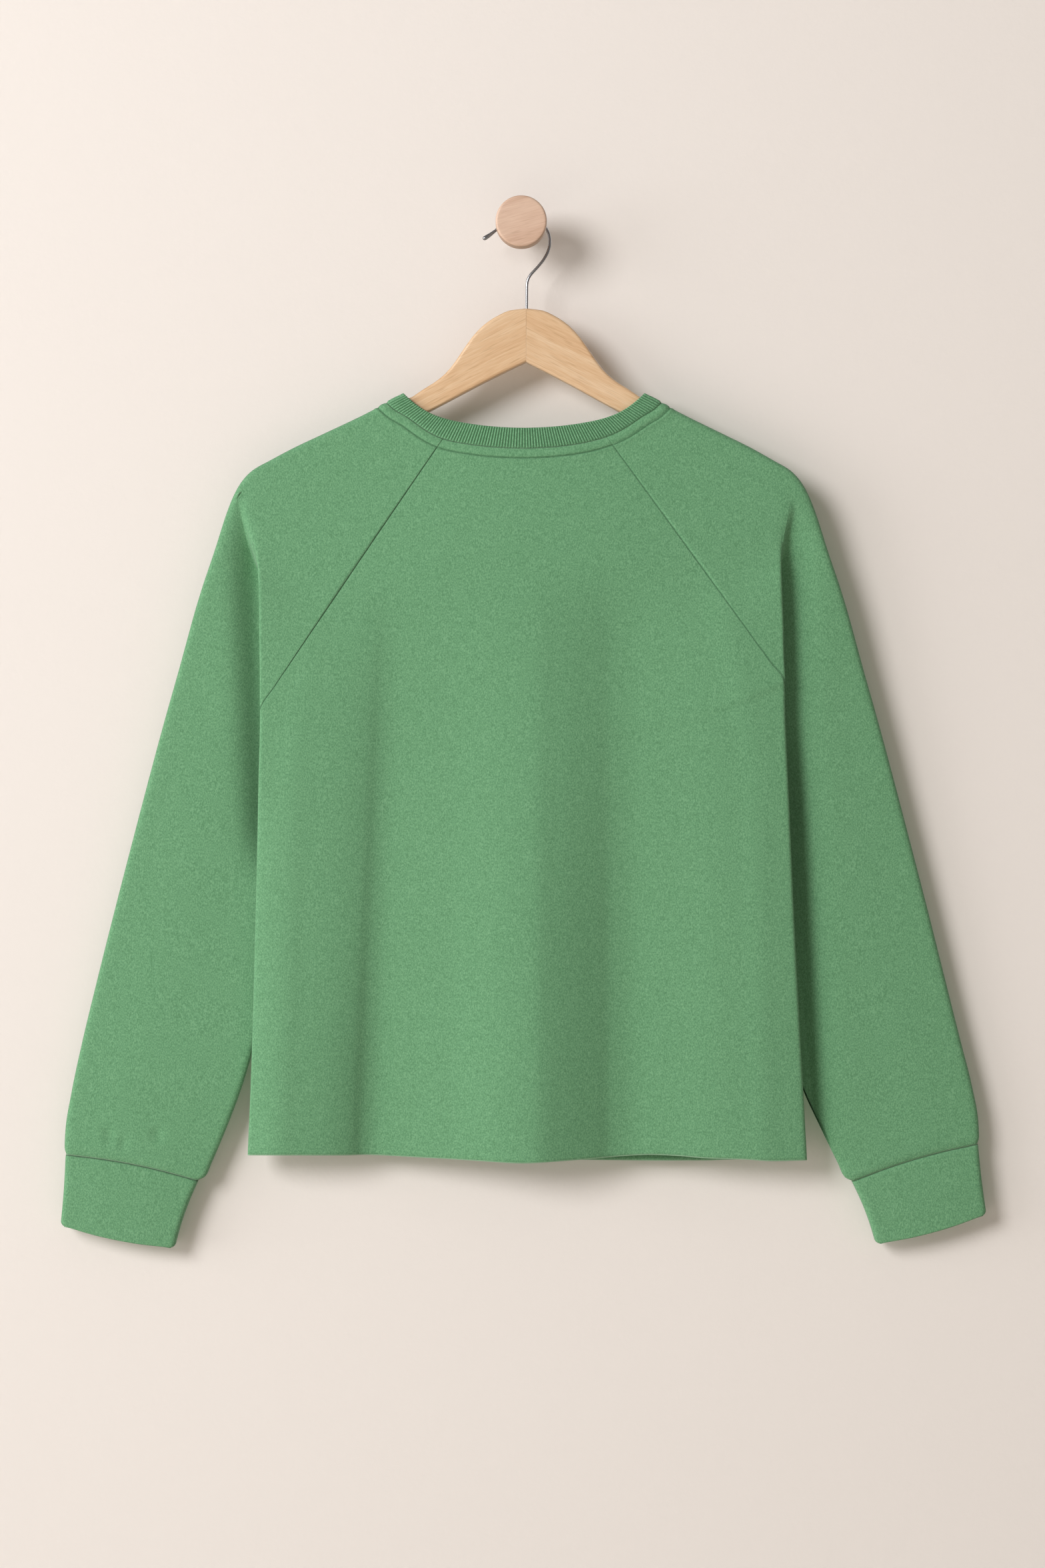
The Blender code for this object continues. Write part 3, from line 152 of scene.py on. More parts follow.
# Loops above the underarm. The share is how far down the raglan seam a loop starts.
YOKE: Table = {
    "share":        (0.00, 0.20, 0.36, 0.45, 0.60, 0.80, 0.90, 1.00),
    "outer_drop":   (154.0, 188.0, 214.0, 238.5, 290.4, 358.2, 392.1, 426.0),
    "back_drop":    (193.7, 252.0, 303.0, 334.0, 386.0, 447.0, 470.0, 488.0),
    "front_drop":   (245.0, 292.0, 331.0, 353.0, 389.0, 435.0, 459.0, 482.0),
    "back":         (43.0, 46.0, 48.0, 49.0, 50.0, 51.0, 51.5, 52.0),
    "seam":         (41.0, 42.5, 43.5, 44.2, 45.1, 45.2, 44.8, 44.4),
    "sleeve_back":  (38.9, 38.6, 38.6, 38.6, 36.8, 34.0, 32.8, 31.5),
    "outer":        (30.0, 30.0, 30.0, 29.5, 27.5, 24.5, 23.0, 22.0),
    "outer_half":   (8.2, 8.2, 8.2, 8.0, 7.8, 7.4, 7.2, 7.0),
    "sleeve_front": (21.0, 20.5, 20.0, 19.0, 16.5, 14.0, 13.0, 12.5),
    "front_seam":   (19.0, 17.5, 16.5, 16.5, 18.0, 22.5, 26.0, 30.0),
    "front":        (15.0, 14.0, 13.5, 13.0, 13.0, 13.0, 13.0, 13.0),
}

# The pleat that hides behind the body's crisp edge, from its start to the underarm.
PLEAT: Table = {
    "share":       (0.42, 0.47, 0.53, 0.56, 0.60, 0.66, 0.79, 0.90, 1.00),
    "inner_shift": (3.0, 5.0, 5.6, 3.4, 0.6, 0.0, 0.0, 0.0, 0.0),
    "inner_rise":  (0.0, 0.0, 0.4, 1.5, 4.5, 9.0, 15.0, 12.0, 6.7),
    "inner_depth": (39.2, 38.0, 36.2, 35.7, 35.2, 34.9, 34.6, 34.2, 33.6),
    "inner_gap":   (0.1, 0.8, 2.4, 3.2, 3.8, 3.8, 3.6, 3.6, 2.6),
    "rise":        (0.1, 0.4, 1.2, 1.6, 1.6, 1.4, 1.2, 1.4, 2.6),
    "edge_gap":    (0.2, 1.4, 3.2, 4.0, 4.6, 4.8, 4.8, 4.8, 4.8),
}

# Loops of the body below the underarm, down to the raw hem.
BODY: Table = {
    "share":      (0.00, 0.06, 0.15, 0.35, 0.60, 0.80, 1.00),
    "edge_depth": (43.6, 43.6, 43.6, 43.2, 42.0, 40.5, 38.5),
    "edge_gap":   (4.8, 4.8, 4.8, 5.0, 6.0, 8.0, 11.0),
    "seam_out":   (169.6, 172.0, 178.0, 192.0, 208.0, 219.0, 228.0),
    "seam_depth": (35.8, 37.2, 38.0, 37.6, 35.6, 32.0, 27.4),
    "middle":     (20.0, 20.0, 19.0, 17.0, 16.0, 15.5, 15.5),
    "back":       (52.0, 52.3, 52.8, 53.5, 53.5, 52.0, 50.0),
    "front":      (13.0, 13.0, 13.0, 13.0, 13.0, 13.5, 14.0),
}

# Loops of the sleeve below the underarm, down to the cuff seam.
SLEEVE: Table = {
    "share":        (0.00, 0.045, 0.165, 0.34, 0.51, 0.675, 0.815, 0.91, 0.97, 1.00),
    "inner_out":    (171.8, 174.4, 182.8, 198.0, 214.2, 230.8, 247.0, 261.0, 271.0, 275.3),
    "inner_drop":   (454.3, 470.0, 515.0, 580.5, 644.0, 705.0, 757.0, 791.6, 814.5, 823.6),
    "outer_drop":   (426.0, 443.0, 484.0, 546.0, 608.0, 667.0, 721.0, 757.0, 783.0, 795.5),
    "inner_depth":  (31.2, 29.0, 26.0, 24.0, 22.0, 20.0, 18.5, 17.0, 15.6, 15.0),
    "inner_half":   (1.6, 3.6, 5.0, 5.2, 5.4, 5.6, 5.8, 6.2, 7.0, 7.4),
    "sleeve_back":  (31.0, 30.4, 29.2, 27.8, 26.8, 25.8, 25.2, 24.8, 24.8, 24.4),
    "outer":        (22.0, 21.5, 20.2, 19.0, 18.0, 17.0, 16.2, 15.6, 15.0, 15.0),
    "outer_half":   (7.0, 7.0, 6.8, 6.6, 6.4, 6.2, 6.2, 6.6, 7.2, 7.4),
    "sleeve_front": (12.5, 12.0, 11.0, 10.0, 9.2, 8.4, 7.4, 6.4, 5.6, 5.6),
}

# How far the sleeve's end stands past the cuff's corners: out and down, inner corner and outer corner.
SLEEVE_OVER_CUFF = ((-6.6, -3.2), (1.8, -6.0))

# The raw hem under the back lifts on the right, so that the front's inside shows.
HEMS: dict[str, Table] = {
    "back": {
        "across": (-250, -206.9, -136, -85, -35, 0, 34, 69, 90, 114, 137, 158, 192, 219, 250),
        "drop": (
            804.0, 803.0, 804.0, 805.7, 807.5, 808.9, 807.5, 806.0, 804.6, 803.4, 804.2, 805.7, 806.6, 808.0,
            807.5,
        ),
    },
    "front": {
        "across": (-250, -136, -60, 0, 69, 158, 192, 250),
        "drop":   (804.0, 805.0, 806.0, 808.0, 809.8, 809.8, 808.5, 808.0),
    },
}

# How far out the back's and the front's folds reach down the body, and the width over which they fade there.
FOLD_EDGE: Table = {"drop": (200, 460, 810), "out": (150, 215, 225)}
FOLD_FADE = 30.0


class Finish(str, Enum):
    """The finishes that the garment and what holds it are made in."""

    KNIT = "sweatshirt_knit"
    RIB = "rib_knit"
    THREAD = "polyester_thread"
    HANGER_WOOD = "lacquered_lotus_wood"
    PEG_WOOD = "oiled_beech"
    WIRE = "chromed_steel_wire"
    WALL = "painted_plaster"
    FLOOR = "pale_floor"


@dataclass(frozen=True)
class Side:
    """What differs between the garment's two sides. Its places are each an out and a drop.

    Attributes:
        name: left or right, as the photo shows it.
        way: the side's sign along x.
        seam_top: where the back raglan seam leaves the neck seam.
        seam_edge: where it reaches the body's edge.
        pleat_top: where the pleat starts.
        edge_drop: drops down the body's edge.
        edge_out: how far out the edge is at each.
        cuff_top: the cuff's inner and outer corners at its seam.
        cuff_end: its inner and outer corners at its end.
    """

    name: str
    way: int
    seam_top: Pair
    seam_edge: Pair
    pleat_top: Pair
    edge_drop: tuple[float, ...]
    edge_out: tuple[float, ...]
    cuff_top: tuple[Pair, Pair]
    cuff_end: tuple[Pair, Pair]

    def edge_across(self, seam: tuple, outer: tuple) -> Pair:
        """Where the line from the seam to the outer outline crosses the body's edge.

        Args:
            seam: the seam's out and drop.
            outer: the outer outline's out and drop.

        Returns:
            The crossing's out and drop.
        """
        slope = (outer[1] - seam[1]) / (outer[0] - seam[0])
        out = self.seam_edge[0]
        for _ in range(3):
            drop = seam[1] + (out - seam[0]) * slope
            out = max(float(read(self.edge_drop, self.edge_out, drop)), seam[0] + 0.01)
        return out, seam[1] + (out - seam[0]) * slope

    def back_seam(self, share: float) -> Pair:
        """Where the back raglan seam is, which turns over the body's edge at TURN_SHARE."""
        if share <= TURN_SHARE:
            return mix(self.seam_top, self.seam_edge, share / TURN_SHARE)
        if share >= FOLD_SHARE:
            return self.inner_fold(share, self.edge_beyond(share))
        beyond = max(0.0, (share - TURN_SHARE - TURN_STEP) / (FOLD_SHARE - TURN_SHARE - TURN_STEP))
        return mix(self.edge_beyond(share), self.inner_fold(FOLD_SHARE, self.edge_beyond(FOLD_SHARE)), beyond)

    def edge_beyond(self, share: float) -> Pair:
        """The body's edge on loops past the turn, as out and drop."""
        part = (share - TURN_SHARE) / (1 - TURN_SHARE)
        drop = self.seam_edge[1] + (UNDERARM_EDGE_DROP - self.seam_edge[1]) * part
        return float(read(self.edge_drop, self.edge_out, drop)), drop

    def inner_fold(self, share: float, edge: tuple) -> Pair:
        """Where the pleat's inner fold is on a loop that crosses the body's edge at a given place."""
        drop = edge[1] - column(PLEAT, "inner_rise", share)
        down = (drop - self.pleat_top[1]) / (UNDERARM[1] - self.pleat_top[1])
        out = self.pleat_top[0] + (UNDERARM[0] - self.pleat_top[0]) * down
        return out + column(PLEAT, "inner_shift", share), drop


SIDES = (
    Side(
        name="left", way=-1, seam_top=(67.6, 186.2), seam_edge=(224.7, 417.3), pleat_top=(235.6, 252.0),
        edge_drop=(252, 267, 295, 324, 382, 416, 497, 611, 726, 804),
        edge_out=(235.6, 232.2, 227.0, 225.6, 225.0, 224.7, 226.5, 229.3, 232.8, 236.2),
        cuff_top=((281.6, 826.4), (394.6, 804.3)), cuff_end=((302.1, 884.3), (398.9, 864.8)),
    ),
    Side(
        name="right", way=1, seam_top=(73.9, 184.0), seam_edge=(226.9, 394.3), pleat_top=(229.0, 249.0),
        edge_drop=(249, 267, 295, 353, 416, 497, 611, 726, 807),
        edge_out=(229.0, 225.5, 224.1, 225.8, 226.9, 230.4, 235.5, 241.9, 246.5),
        cuff_top=((288.2, 827.1), (395.6, 795.1)), cuff_end=((309.0, 880.8), (402.8, 855.3)),
    ),
)


def read(keys: tuple, values: tuple, at: Array | float) -> Array:
    """Reads a table at any key, smooth and without overshoot.

    Args:
        keys: rising keys.
        values: a number, or an array of numbers, for each key.
        at: the keys to read at.

    Returns:
        The values there.
    """
    keys, values = np.asarray(keys, float), np.asarray(values, float)
    at = np.clip(np.asarray(at, float), keys[0], keys[-1])
    extra = (slice(None),) + (None,) * (values.ndim - 1)
    steps = np.diff(keys)[extra]
    rises = np.diff(values, axis=0) / steps
    slopes = np.zeros_like(values)
    slopes[0], slopes[-1] = rises[0], rises[-1]
    before, after = rises[:-1], rises[1:]
    same_way = before * after > 0
    total = np.where(same_way, before + after, 1.0)
    slopes[1:-1] = np.where(same_way, 2 * before * after / total, 0.0)
    place = np.clip(np.searchsorted(keys, at, side="right") - 1, 0, len(keys) - 2)
    share = (at - keys[place]) / (keys[place + 1] - keys[place])
    if values.ndim > 1:
        share = share[extra]
    step = steps[place]
    return (
        values[place] * (1 + 2 * share) * (1 - share) ** 2
        + values[place + 1] * share**2 * (3 - 2 * share)
        + slopes[place] * step * share * (1 - share) ** 2
        - slopes[place + 1] * step * share**2 * (1 - share)
    )


def column(table: Table, name: str, share: float) -> float:
    """One column of a table of loops at a share of its length."""
    return float(read(table["share"], table[name], share))


def ease(share: Array | float) -> Array | float:
    """A smooth step from 0 to 1."""
    share = np.clip(share, 0.0, 1.0)
    return share * share * (3 - 2 * share)


def mix(first: tuple, second: tuple, share: float) -> tuple:
    """The point at a share of the way between two points."""
    return tuple(a + (b - a) * share for a, b in zip(first, second))


def unit(ways: Array) -> Array:
    """Directions of length one."""
    return ways / np.maximum(np.linalg.norm(ways, axis=-1, keepdims=True), 1e-9)


def spread(start: float, end: float, count: int) -> list[float]:
    """Places between two others, both left out."""
    return list(start + (end - start) * np.arange(1, count + 1) / (count + 1))


def world(side: Side, out: float, drop: float, depth: float, shift: float = 0.0) -> Place:
    """A place on one side, as x, y and z."""
    return (side.way * out + shift, -depth, -drop)


class Loop:
    """A closed loop of cloth through corners, each rounded over its own short reach."""

    TAPS = np.linspace(-1.0, 1.0, 11)

    def __init__(self, corners: list[tuple[Optional[str], Place, float]]) -> None:
        """Measures the loop.

        Args:
            corners: each corner's name or None, its place, and how far its rounding reaches.
        """
        places = np.array([place for _, place, _ in corners], float)
        self.turns = np.array([turn for _, _, turn in corners])
        self.ends = np.vstack([places, places[:1]])
        lengths = np.linalg.norm(np.diff(self.ends, axis=0), axis=1)
        self.along = np.concatenate([[0.0], np.cumsum(lengths)])
        self.length = self.along[-1]
        self.named = {name: self.along[i] for i, (name, _, _) in enumerate(corners) if name}

    def raw(self, along: Array) -> Array:
        """Points on the straight runs between the corners."""
        along = np.mod(along, self.length)
        return np.stack([np.interp(along, self.along, self.ends[:, axis]) for axis in range(3)], axis=-1)

    def reach(self, along: Array) -> Array:
        """How far the rounding reaches at a place, which is short near a crisp fold."""
        apart = np.abs(np.mod(along, self.length)[:, None] - self.along[None, :-1])
        apart = np.minimum(apart, self.length - apart)
        return np.minimum(SOFT_TURN, (self.turns[None, :] + TURN_GROWTH * apart).min(axis=1))

    def at(self, along: Array) -> Array:
        """Points on the rounded loop."""
        along = np.asarray(along, float)
        weights = 1.0 - np.abs(self.TAPS) * 0.92
        reach = self.reach(along)
        total = sum(w * self.raw(along + tap * reach) for tap, w in zip(self.TAPS, weights))
        return total / weights.sum()

    def level_down(self, along: Array) -> Array:
        """The way down at places, square to the loop's run as seen from the front, with its folds evened
        out.
        """
        taps = np.linspace(-LEVEL_REACH, LEVEL_REACH, 21)
        steps = np.diff(self.raw(along[:, None] + taps[None, :]), axis=1)
        steps *= np.sign(steps[..., 0] + 1e-9)[..., None]
        run = steps.sum(axis=1)
        return unit(np.stack([run[:, 2], np.zeros(len(run)), -run[:, 0]], axis=-1))


class Pattern:
    """The garment's form as it hangs: every loop of cloth, from the neck seam to the hem and the cuffs."""

    @staticmethod
    def closed(side_corners: Callable[[Side], list], back: Place, front: Place) -> Loop:
        """A loop once round: the middle of the back, the left side, the middle of the front, the right side.

        Args:
            side_corners: gives one side's corners, from the back to the front.
            back: the middle of the back.
            front: the middle of the front.

        Returns:
            The loop.
        """
        left, right = SIDES
        corners = [("back", back, SOFT_TURN)]
        corners += [(name and f"left {name}", place, turn) for name, place, turn in side_corners(left)]
        corners.append(("front", front, SOFT_TURN))
        corners += [
            (name and f"right {name}", place, turn) for name, place, turn in reversed(side_corners(right))
        ]
        return Loop(corners)

    @staticmethod
    def yoke_side(side: Side, share: float) -> list:
        """One side of a loop above the underarm, from the middle of the back to the middle of the front.

        Args:
            side: the side.
            share: how far down the raglan seam the loop starts.

        Returns:
            The loop's corners on that side.
        """
        get = partial(column, YOKE, share=share)
        shift = NECK_MIDDLE * float(1 - ease(share / PLEAT_START))
        outer_drop = get("outer_drop")
        outer_out = float(read(OUTER_OUTLINE["drop"], OUTER_OUTLINE["out"], outer_drop))
        outer = (outer_out, outer_drop)
        turned = share > TURN_SHARE
        seam = side.back_seam(share)
        if turned:
            edge = side.edge_beyond(share)
        elif share > PLEAT_START:
            edge = side.edge_across(seam, outer)
        else:
            start_seam = side.back_seam(PLEAT_START)
            start_drop = column(YOKE, "outer_drop", PLEAT_START)
            start_outer = float(read(OUTER_OUTLINE["drop"], OUTER_OUTLINE["out"], start_drop))
            start_edge = side.edge_across(start_seam, (start_outer, start_drop))
            part = (start_edge[0] - start_seam[0]) / (start_outer - start_seam[0])
            edge = mix(seam, outer, 0.6 + (part - 0.6) * share / PLEAT_START)
        if share > PLEAT_START:
            fold = partial(column, PLEAT, share=share)
            inner = side.inner_fold(share, edge)
            inner_back = fold("inner_depth")
            inner_front = inner_back + fold("inner_gap")
            edge_front = inner_front + fold("rise")
            edge_back = edge_front + fold("edge_gap")
        else:
            inner = edge
            inner_back = inner_front = edge_front = edge_back = PLEAT["inner_depth"][0] + 0.4
        bow = float(1 - ease(share / PLEAT_START))

        corners = []
        middle_drop = get("back_drop")
        target = edge if turned else seam
        depth = edge_back if turned else get("seam")
        for step in (0.25, 0.5, 0.75):
            drop = middle_drop + (target[1] - middle_drop) * step**2.1
            here = depth + (get("back") - depth) * (1 - step**2)
            corners.append((None, world(side, target[0] * step, drop, here, shift), SOFT_TURN))
        if not turned:
            corners.append(("seam", world(side, *seam, get("seam"), 0.0), SOFT_TURN))
            for step in (0.3, 0.6):
                out, drop = mix(seam, edge, step)
                here = get("seam") + (edge_back - get("seam")) * step
                lowered = drop + bow * 5.0 * step
                corners.append((None, world(side, out, lowered, here, shift * step), SOFT_TURN))
        turn = EDGE_TURN + (SOFT_TURN - EDGE_TURN) * float(1 - ease((share - PLEAT_START) / PLEAT_SOFT))
        corners.append(("edge_back", world(side, *edge, edge_back, shift), turn))
        wrap = (share - TURN_SHARE) / TURN_STEP
        if 0 < wrap < 1:
            corners.append(("seam", world(side, *seam, edge_back + (edge_front - edge_back) * wrap), turn))
        if share > PLEAT_START:
            corners.append(("edge_front", world(side, *edge, edge_front, shift), turn))
            if turned and wrap >= 1:
                part = (edge[0] - seam[0]) / max(edge[0] - inner[0], 0.01)
                near = part < 0.05 or part > 0.95
                here = edge_front + (inner_front - edge_front) * part
                corners.append(("seam", world(side, *seam, here), turn if near else SOFT_TURN))
            corners.append(("inner_front", world(side, *inner, inner_front), turn))
            corners.append(("inner_back", world(side, *inner, inner_back), turn))
        half = get("outer_half")
        out, drop = mix(inner, outer, 0.55)
        corners.append((None, world(side, out, drop + bow * 2.5, get("sleeve_back"), shift), SOFT_TURN))
        corners.append(("outer_back", world(side, *outer, get("outer") + half, shift), OUTER_TURN))
        corners.append(("outer_front", world(side, *outer, get("outer") - half, shift), OUTER_TURN))
        front_rise = 1 - (FRONT_SEAM_OUT / NECK_OUT) ** NECK_CURVE
        front_tall = NECK_FRONT_DROP - NECK_SHOULDER_DROP
        front_top = (FRONT_SEAM_OUT, NECK_SHOULDER_DROP + front_tall * front_rise ** (1 / NECK_CURVE))
        front_seam = mix(front_top, UNDERARM, share)
        for step, sag in ((0.35, 0.95), (0.7, 0.8)):
            out, drop = mix(outer, front_seam, step)
            here = get("sleeve_front") if step < 0.5 else 0.5 * (get("sleeve_front") + get("front_seam"))
            corners.append((None, world(side, out, drop + bow * 11.0 * sag, here, shift), SOFT_TURN))
        corners.append(("front_seam", world(side, *front_seam, get("front_seam"), shift), SOFT_TURN))
        for step in (0.75, 0.5, 0.25):
            drop = get("front_drop") + (front_seam[1] - get("front_drop")) * step**2.1
            here = get("front") + (get("front_seam") - get("front")) * step**2
            corners.append((None, world(side, front_seam[0] * step, drop, here, shift), SOFT_TURN))
        return corners

    @classmethod
    def yoke(cls, share: float) -> Loop:
        """A loop above the underarm."""
        shift = NECK_MIDDLE * float(1 - ease(share / PLEAT_START))
        back = (shift, -column(YOKE, "back", share), -column(YOKE, "back_drop", share))
        front = (shift, -column(YOKE, "front", share), -column(YOKE, "front_drop", share))
        return cls.closed(lambda side: cls.yoke_side(side, share), back, front)

    @staticmethod
    def body_drop(layer: str, share: float) -> float:
        """How far down a loop of the body lies in the middle of the back or front."""
        start = YOKE[f"{layer}_drop"][-1]
        end = float(read(HEMS[layer]["across"], HEMS[layer]["drop"], 0.0))
        return start + (end - start) * share

    @classmethod
    def body_side(cls, side: Side, share: float) -> list:
        """One side of a loop of the body below the underarm.

        Args:
            side: the side.
            share: how far down its piece the loop lies.

        Returns:
            The loop's corners on that side.
        """
        get = partial(column, BODY, share=share)
        hem = side.edge_drop[-1]
        edge_drop = UNDERARM_EDGE_DROP + (hem - UNDERARM_EDGE_DROP) * share
        edge_out = float(read(side.edge_drop, side.edge_out, edge_drop))
        back_drop = cls.body_drop("back", share)
        turn = EDGE_TURN + (HEM_TURN - EDGE_TURN) * share
        corners = []
        for step in (0.25, 0.5, 0.75):
            drop = back_drop + (edge_drop - back_drop) * step**2.1
            depth = get("edge_depth") + (get("back") - get("edge_depth")) * (1 - step**2)
            corners.append((None, world(side, edge_out * step, drop, depth), SOFT_TURN))
        corners.append(("edge_back", world(side, edge_out, edge_drop, get("edge_depth")), turn))
        edge_front = get("edge_depth") - get("edge_gap")
        corners.append(("edge_front", world(side, edge_out, edge_drop, edge_front), turn))
        seam_out = get("seam_out") + (9.0 * share if side.way > 0 else 0.0)
        seam_drop = UNDERARM[1] + (hem - UNDERARM[1]) * share
        corners.append(("seam", world(side, seam_out, seam_drop, get("seam_depth")), SOFT_TURN))
        front_drop = cls.body_drop("front", share)
        for step, depth in (
            (0.85, 0.5 * (get("seam_depth") + get("middle"))), (0.65, get("middle")), (0.3, get("front")),
        ):
            drop = front_drop + (seam_drop - front_drop) * step**2
            corners.append((None, world(side, seam_out * step, drop, depth), SOFT_TURN))
        return corners

    @classmethod
    def body(cls, share: float) -> Loop:
        """A loop of the body below the underarm."""
        back = (0.0, -column(BODY, "back", share), -cls.body_drop("back", share))
        front = (0.0, -column(BODY, "front", share), -cls.body_drop("front", share))
        return cls.closed(lambda side: cls.body_side(side, share), back, front)

    @staticmethod
    def sleeve(side: Side, share: float) -> Loop:
        """A loop of one sleeve below the underarm, from the underarm over its outer side and round to it
        again.

        Args:
            side: the sleeve's side.
            share: how far down its piece the loop lies.

        Returns:
            The loop.
        """
        get = partial(column, SLEEVE, share=share)
        near_cuff = float(ease((share - 0.7) / 0.3))
        outer_out = float(read(OUTER_OUTLINE["drop"], OUTER_OUTLINE["out"], get("outer_drop")))
        corners = zip(side.cuff_top, SLEEVE_OVER_CUFF)
        end_inner, end_outer = (np.array(place) + over for place, over in corners)
        inner = np.array((get("inner_out"), get("inner_drop")))
        inner += near_cuff * (end_inner - (SLEEVE["inner_out"][-1], SLEEVE["inner_drop"][-1]))
        outer = np.array((outer_out, get("outer_drop")))
        outer += near_cuff * (end_outer - (OUTER_OUTLINE["out"][-1], SLEEVE["outer_drop"][-1]))
        inner_turn = 1.2 + 2.4 * float(ease(share / 0.1))
        corners = [("start", world(side, *inner, get("inner_depth")), inner_turn)]
        inner_back = get("inner_depth") + get("inner_half")
        corners.append(("inner_back", world(side, *inner, inner_back), inner_turn))
        bow = (0.0, CUFF_BOW[0] * near_cuff**2)
        for step in (0.3, 0.65):
            place = np.array(mix(inner, outer, step)) + bow
            corners.append((None, world(side, *place, get("sleeve_back")), SOFT_TURN))
        corners.append(("outer_back", world(side, *outer, get("outer") + get("outer_half")), OUTER_TURN))
        corners.append(("outer_front", world(side, *outer, get("outer") - get("outer_half")), OUTER_TURN))
        inner_front = get("inner_depth") - get("inner_half")
        near_underarm = float(1 - ease(share / 0.25))
        for step, lift in ((0.3, 0.0), (0.6, 0.5 * near_underarm)):
            depth = get("sleeve_front") + (inner_front - get("sleeve_front")) * lift
            place = np.array(mix(outer, inner, step + 0.2 * lift)) + bow
            corners.append((None, world(side, *place, depth), SOFT_TURN))
        corners.append(("inner_front", world(side, *inner, inner_front), inner_turn))
        return Loop(corners)

    @staticmethod
    def cuff(side: Side, share: float) -> Loop:
        """A loop of one cuff, from its seam down to its turned edge, with its sides and edges bowed.

        Args:
            side: the cuff's side.
            share: how far down its piece the loop lies.

        Returns:
            The loop.
        """
        inner = np.array(mix(side.cuff_top[0], side.cuff_end[0], share))
        outer = np.array(mix(side.cuff_top[1], side.cuff_end[1], share))
        down = unit(np.array(side.cuff_end).sum(axis=0) - np.array(side.cuff_top).sum(axis=0))
        bow = down * (CUFF_BOW[0] + (CUFF_BOW[1] - CUFF_BOW[0]) * share)
        corner = np.clip((share - CUFF_ROUND[1]) / (1 - CUFF_ROUND[1]), 0, 1)
        rounding = CUFF_ROUND[0] * (1 - math.sqrt(1 - corner**2))
        inward = unit(outer - inner)
        for place, way, waist in ((inner, 1, CUFF_WAIST[0]), (outer, -1, CUFF_WAIST[1])):
            place += way * inward * (waist * 4 * share * (1 - share) + rounding)
        near, far = CUFF_DEPTH - CUFF_HALF, CUFF_DEPTH + CUFF_HALF
        corners = []
        for name, place, depth in (
            ("start", inner, CUFF_DEPTH),
            ("inner_back", inner, far - CUFF_CORNER),
            (None, mix(inner, outer, 0.3) + bow * 0.85, far),
            (None, mix(inner, outer, 0.5) + bow, far),
            (None, mix(inner, outer, 0.7) + bow * 0.85, far),
            ("outer_back", outer, far - CUFF_CORNER),
            ("outer_front", outer, near + CUFF_CORNER),
            (None, mix(inner, outer, 0.7) + bow * 0.85, near),
            (None, mix(inner, outer, 0.5) + bow, near),
            (None, mix(inner, outer, 0.3) + bow * 0.85, near),
            ("inner_front", inner, near + CUFF_CORNER),
        ):
            corners.append((name, world(side, *place, depth), OUTER_TURN * 0.6 if name else SOFT_TURN))
        return Loop(corners)

    @classmethod
    def band_edge(cls) -> Loop:
        """The neckband's free edge, with the same corners as the neck seam."""

        def side_corners(side: Side) -> list:
            """One side of the edge, from the middle of the back to the middle of the front."""
            corners = []
            for sign, deep, share_out, middle_depth, seam_depth, lift in (
                (1, BAND_BACK_DROP, BAND_SEAM_SHARE, 44.0, 41.5, 5.0),
                (-1, BAND_FRONT_DROP, FRONT_SEAM_OUT / NECK_OUT, 14.5, 18.5, 10.0),
            ):
                rise = (1 - share_out**NECK_CURVE) ** (1 / NECK_CURVE)
                seam = (BAND_OUT * share_out, BAND_SHOULDER_DROP + (deep - BAND_SHOULDER_DROP) * rise)
                part = []
                for step in (0.25, 0.5, 0.75):
                    drop = deep + (seam[1] - deep) * step**2.1
                    depth = middle_depth + (seam_depth - middle_depth) * step**2
                    part.append((None, world(side, seam[0] * step, drop, depth, NECK_MIDDLE), SOFT_TURN))
                name = "seam" if sign > 0 else "front_seam"
                part.append((name, world(side, *seam, seam_depth, NECK_MIDDLE), SOFT_TURN))
                peak, peak_depth = (BAND_OUT, BAND_SHOULDER_DROP), 30.0 + sign * 8.6
                for step in (0.35, 0.7):
                    out, drop = mix(seam, peak, step)
                    depth = seam_depth + (peak_depth - seam_depth) * step
                    bow = lift * 4 * step * (1 - step)
                    part.append((None, world(side, out, drop + bow, depth, NECK_MIDDLE), SOFT_TURN))
                word = "outer_back" if sign > 0 else "outer_front"
                part.append((word, world(side, *peak, peak_depth, NECK_MIDDLE), OUTER_TURN))
                corners += part if sign > 0 else part[::-1]
            return corners

        back = (NECK_MIDDLE, -44.0, -BAND_BACK_DROP)
        front = (NECK_MIDDLE, -14.5, -BAND_FRONT_DROP)
        return cls.closed(side_corners, back, front)

    @staticmethod
    def panel_columns(loop: Loop, layer: str) -> Array:
        """Where a body panel's key points lie along a loop, from one side seam to the other.

        Args:
            loop: the loop that the panel is cut from.
            layer: back or front.

        Returns:
            Distances along the loop.
        """
        named = loop.named
        seam = "seam" if layer == "back" or "left front_seam" not in named else "front_seam"
        left, right = named[f"left {seam}"], named[f"right {seam}"]
        if layer == "front":
            between = spread(left + 3.0, right - 3.0, PANEL_COLUMNS)
            return np.array([left, left + 3.0] + between + [right - 3.0, right])
        right -= loop.length
        edges = []
        for sign, name, end in ((-1, "right", right), (1, "left", left)):
            limit = sign * end
            front = named.get(f"{name} edge_front")
            back = named[f"{name} edge_back"]
            if sign < 0:
                front = None if front is None else loop.length - front
                back = loop.length - back
            front = min(limit if front is None else front, limit - COLUMN_GAP)
            back = min(back, front - COLUMN_GAP)
            edges.append([limit, front, back, back - EDGE_STEP])
        right_edge = [-mark for mark in edges[0]]
        left_edge = edges[1][::-1]
        return np.array(right_edge + spread(right_edge[-1], left_edge[0], PANEL_COLUMNS) + left_edge)

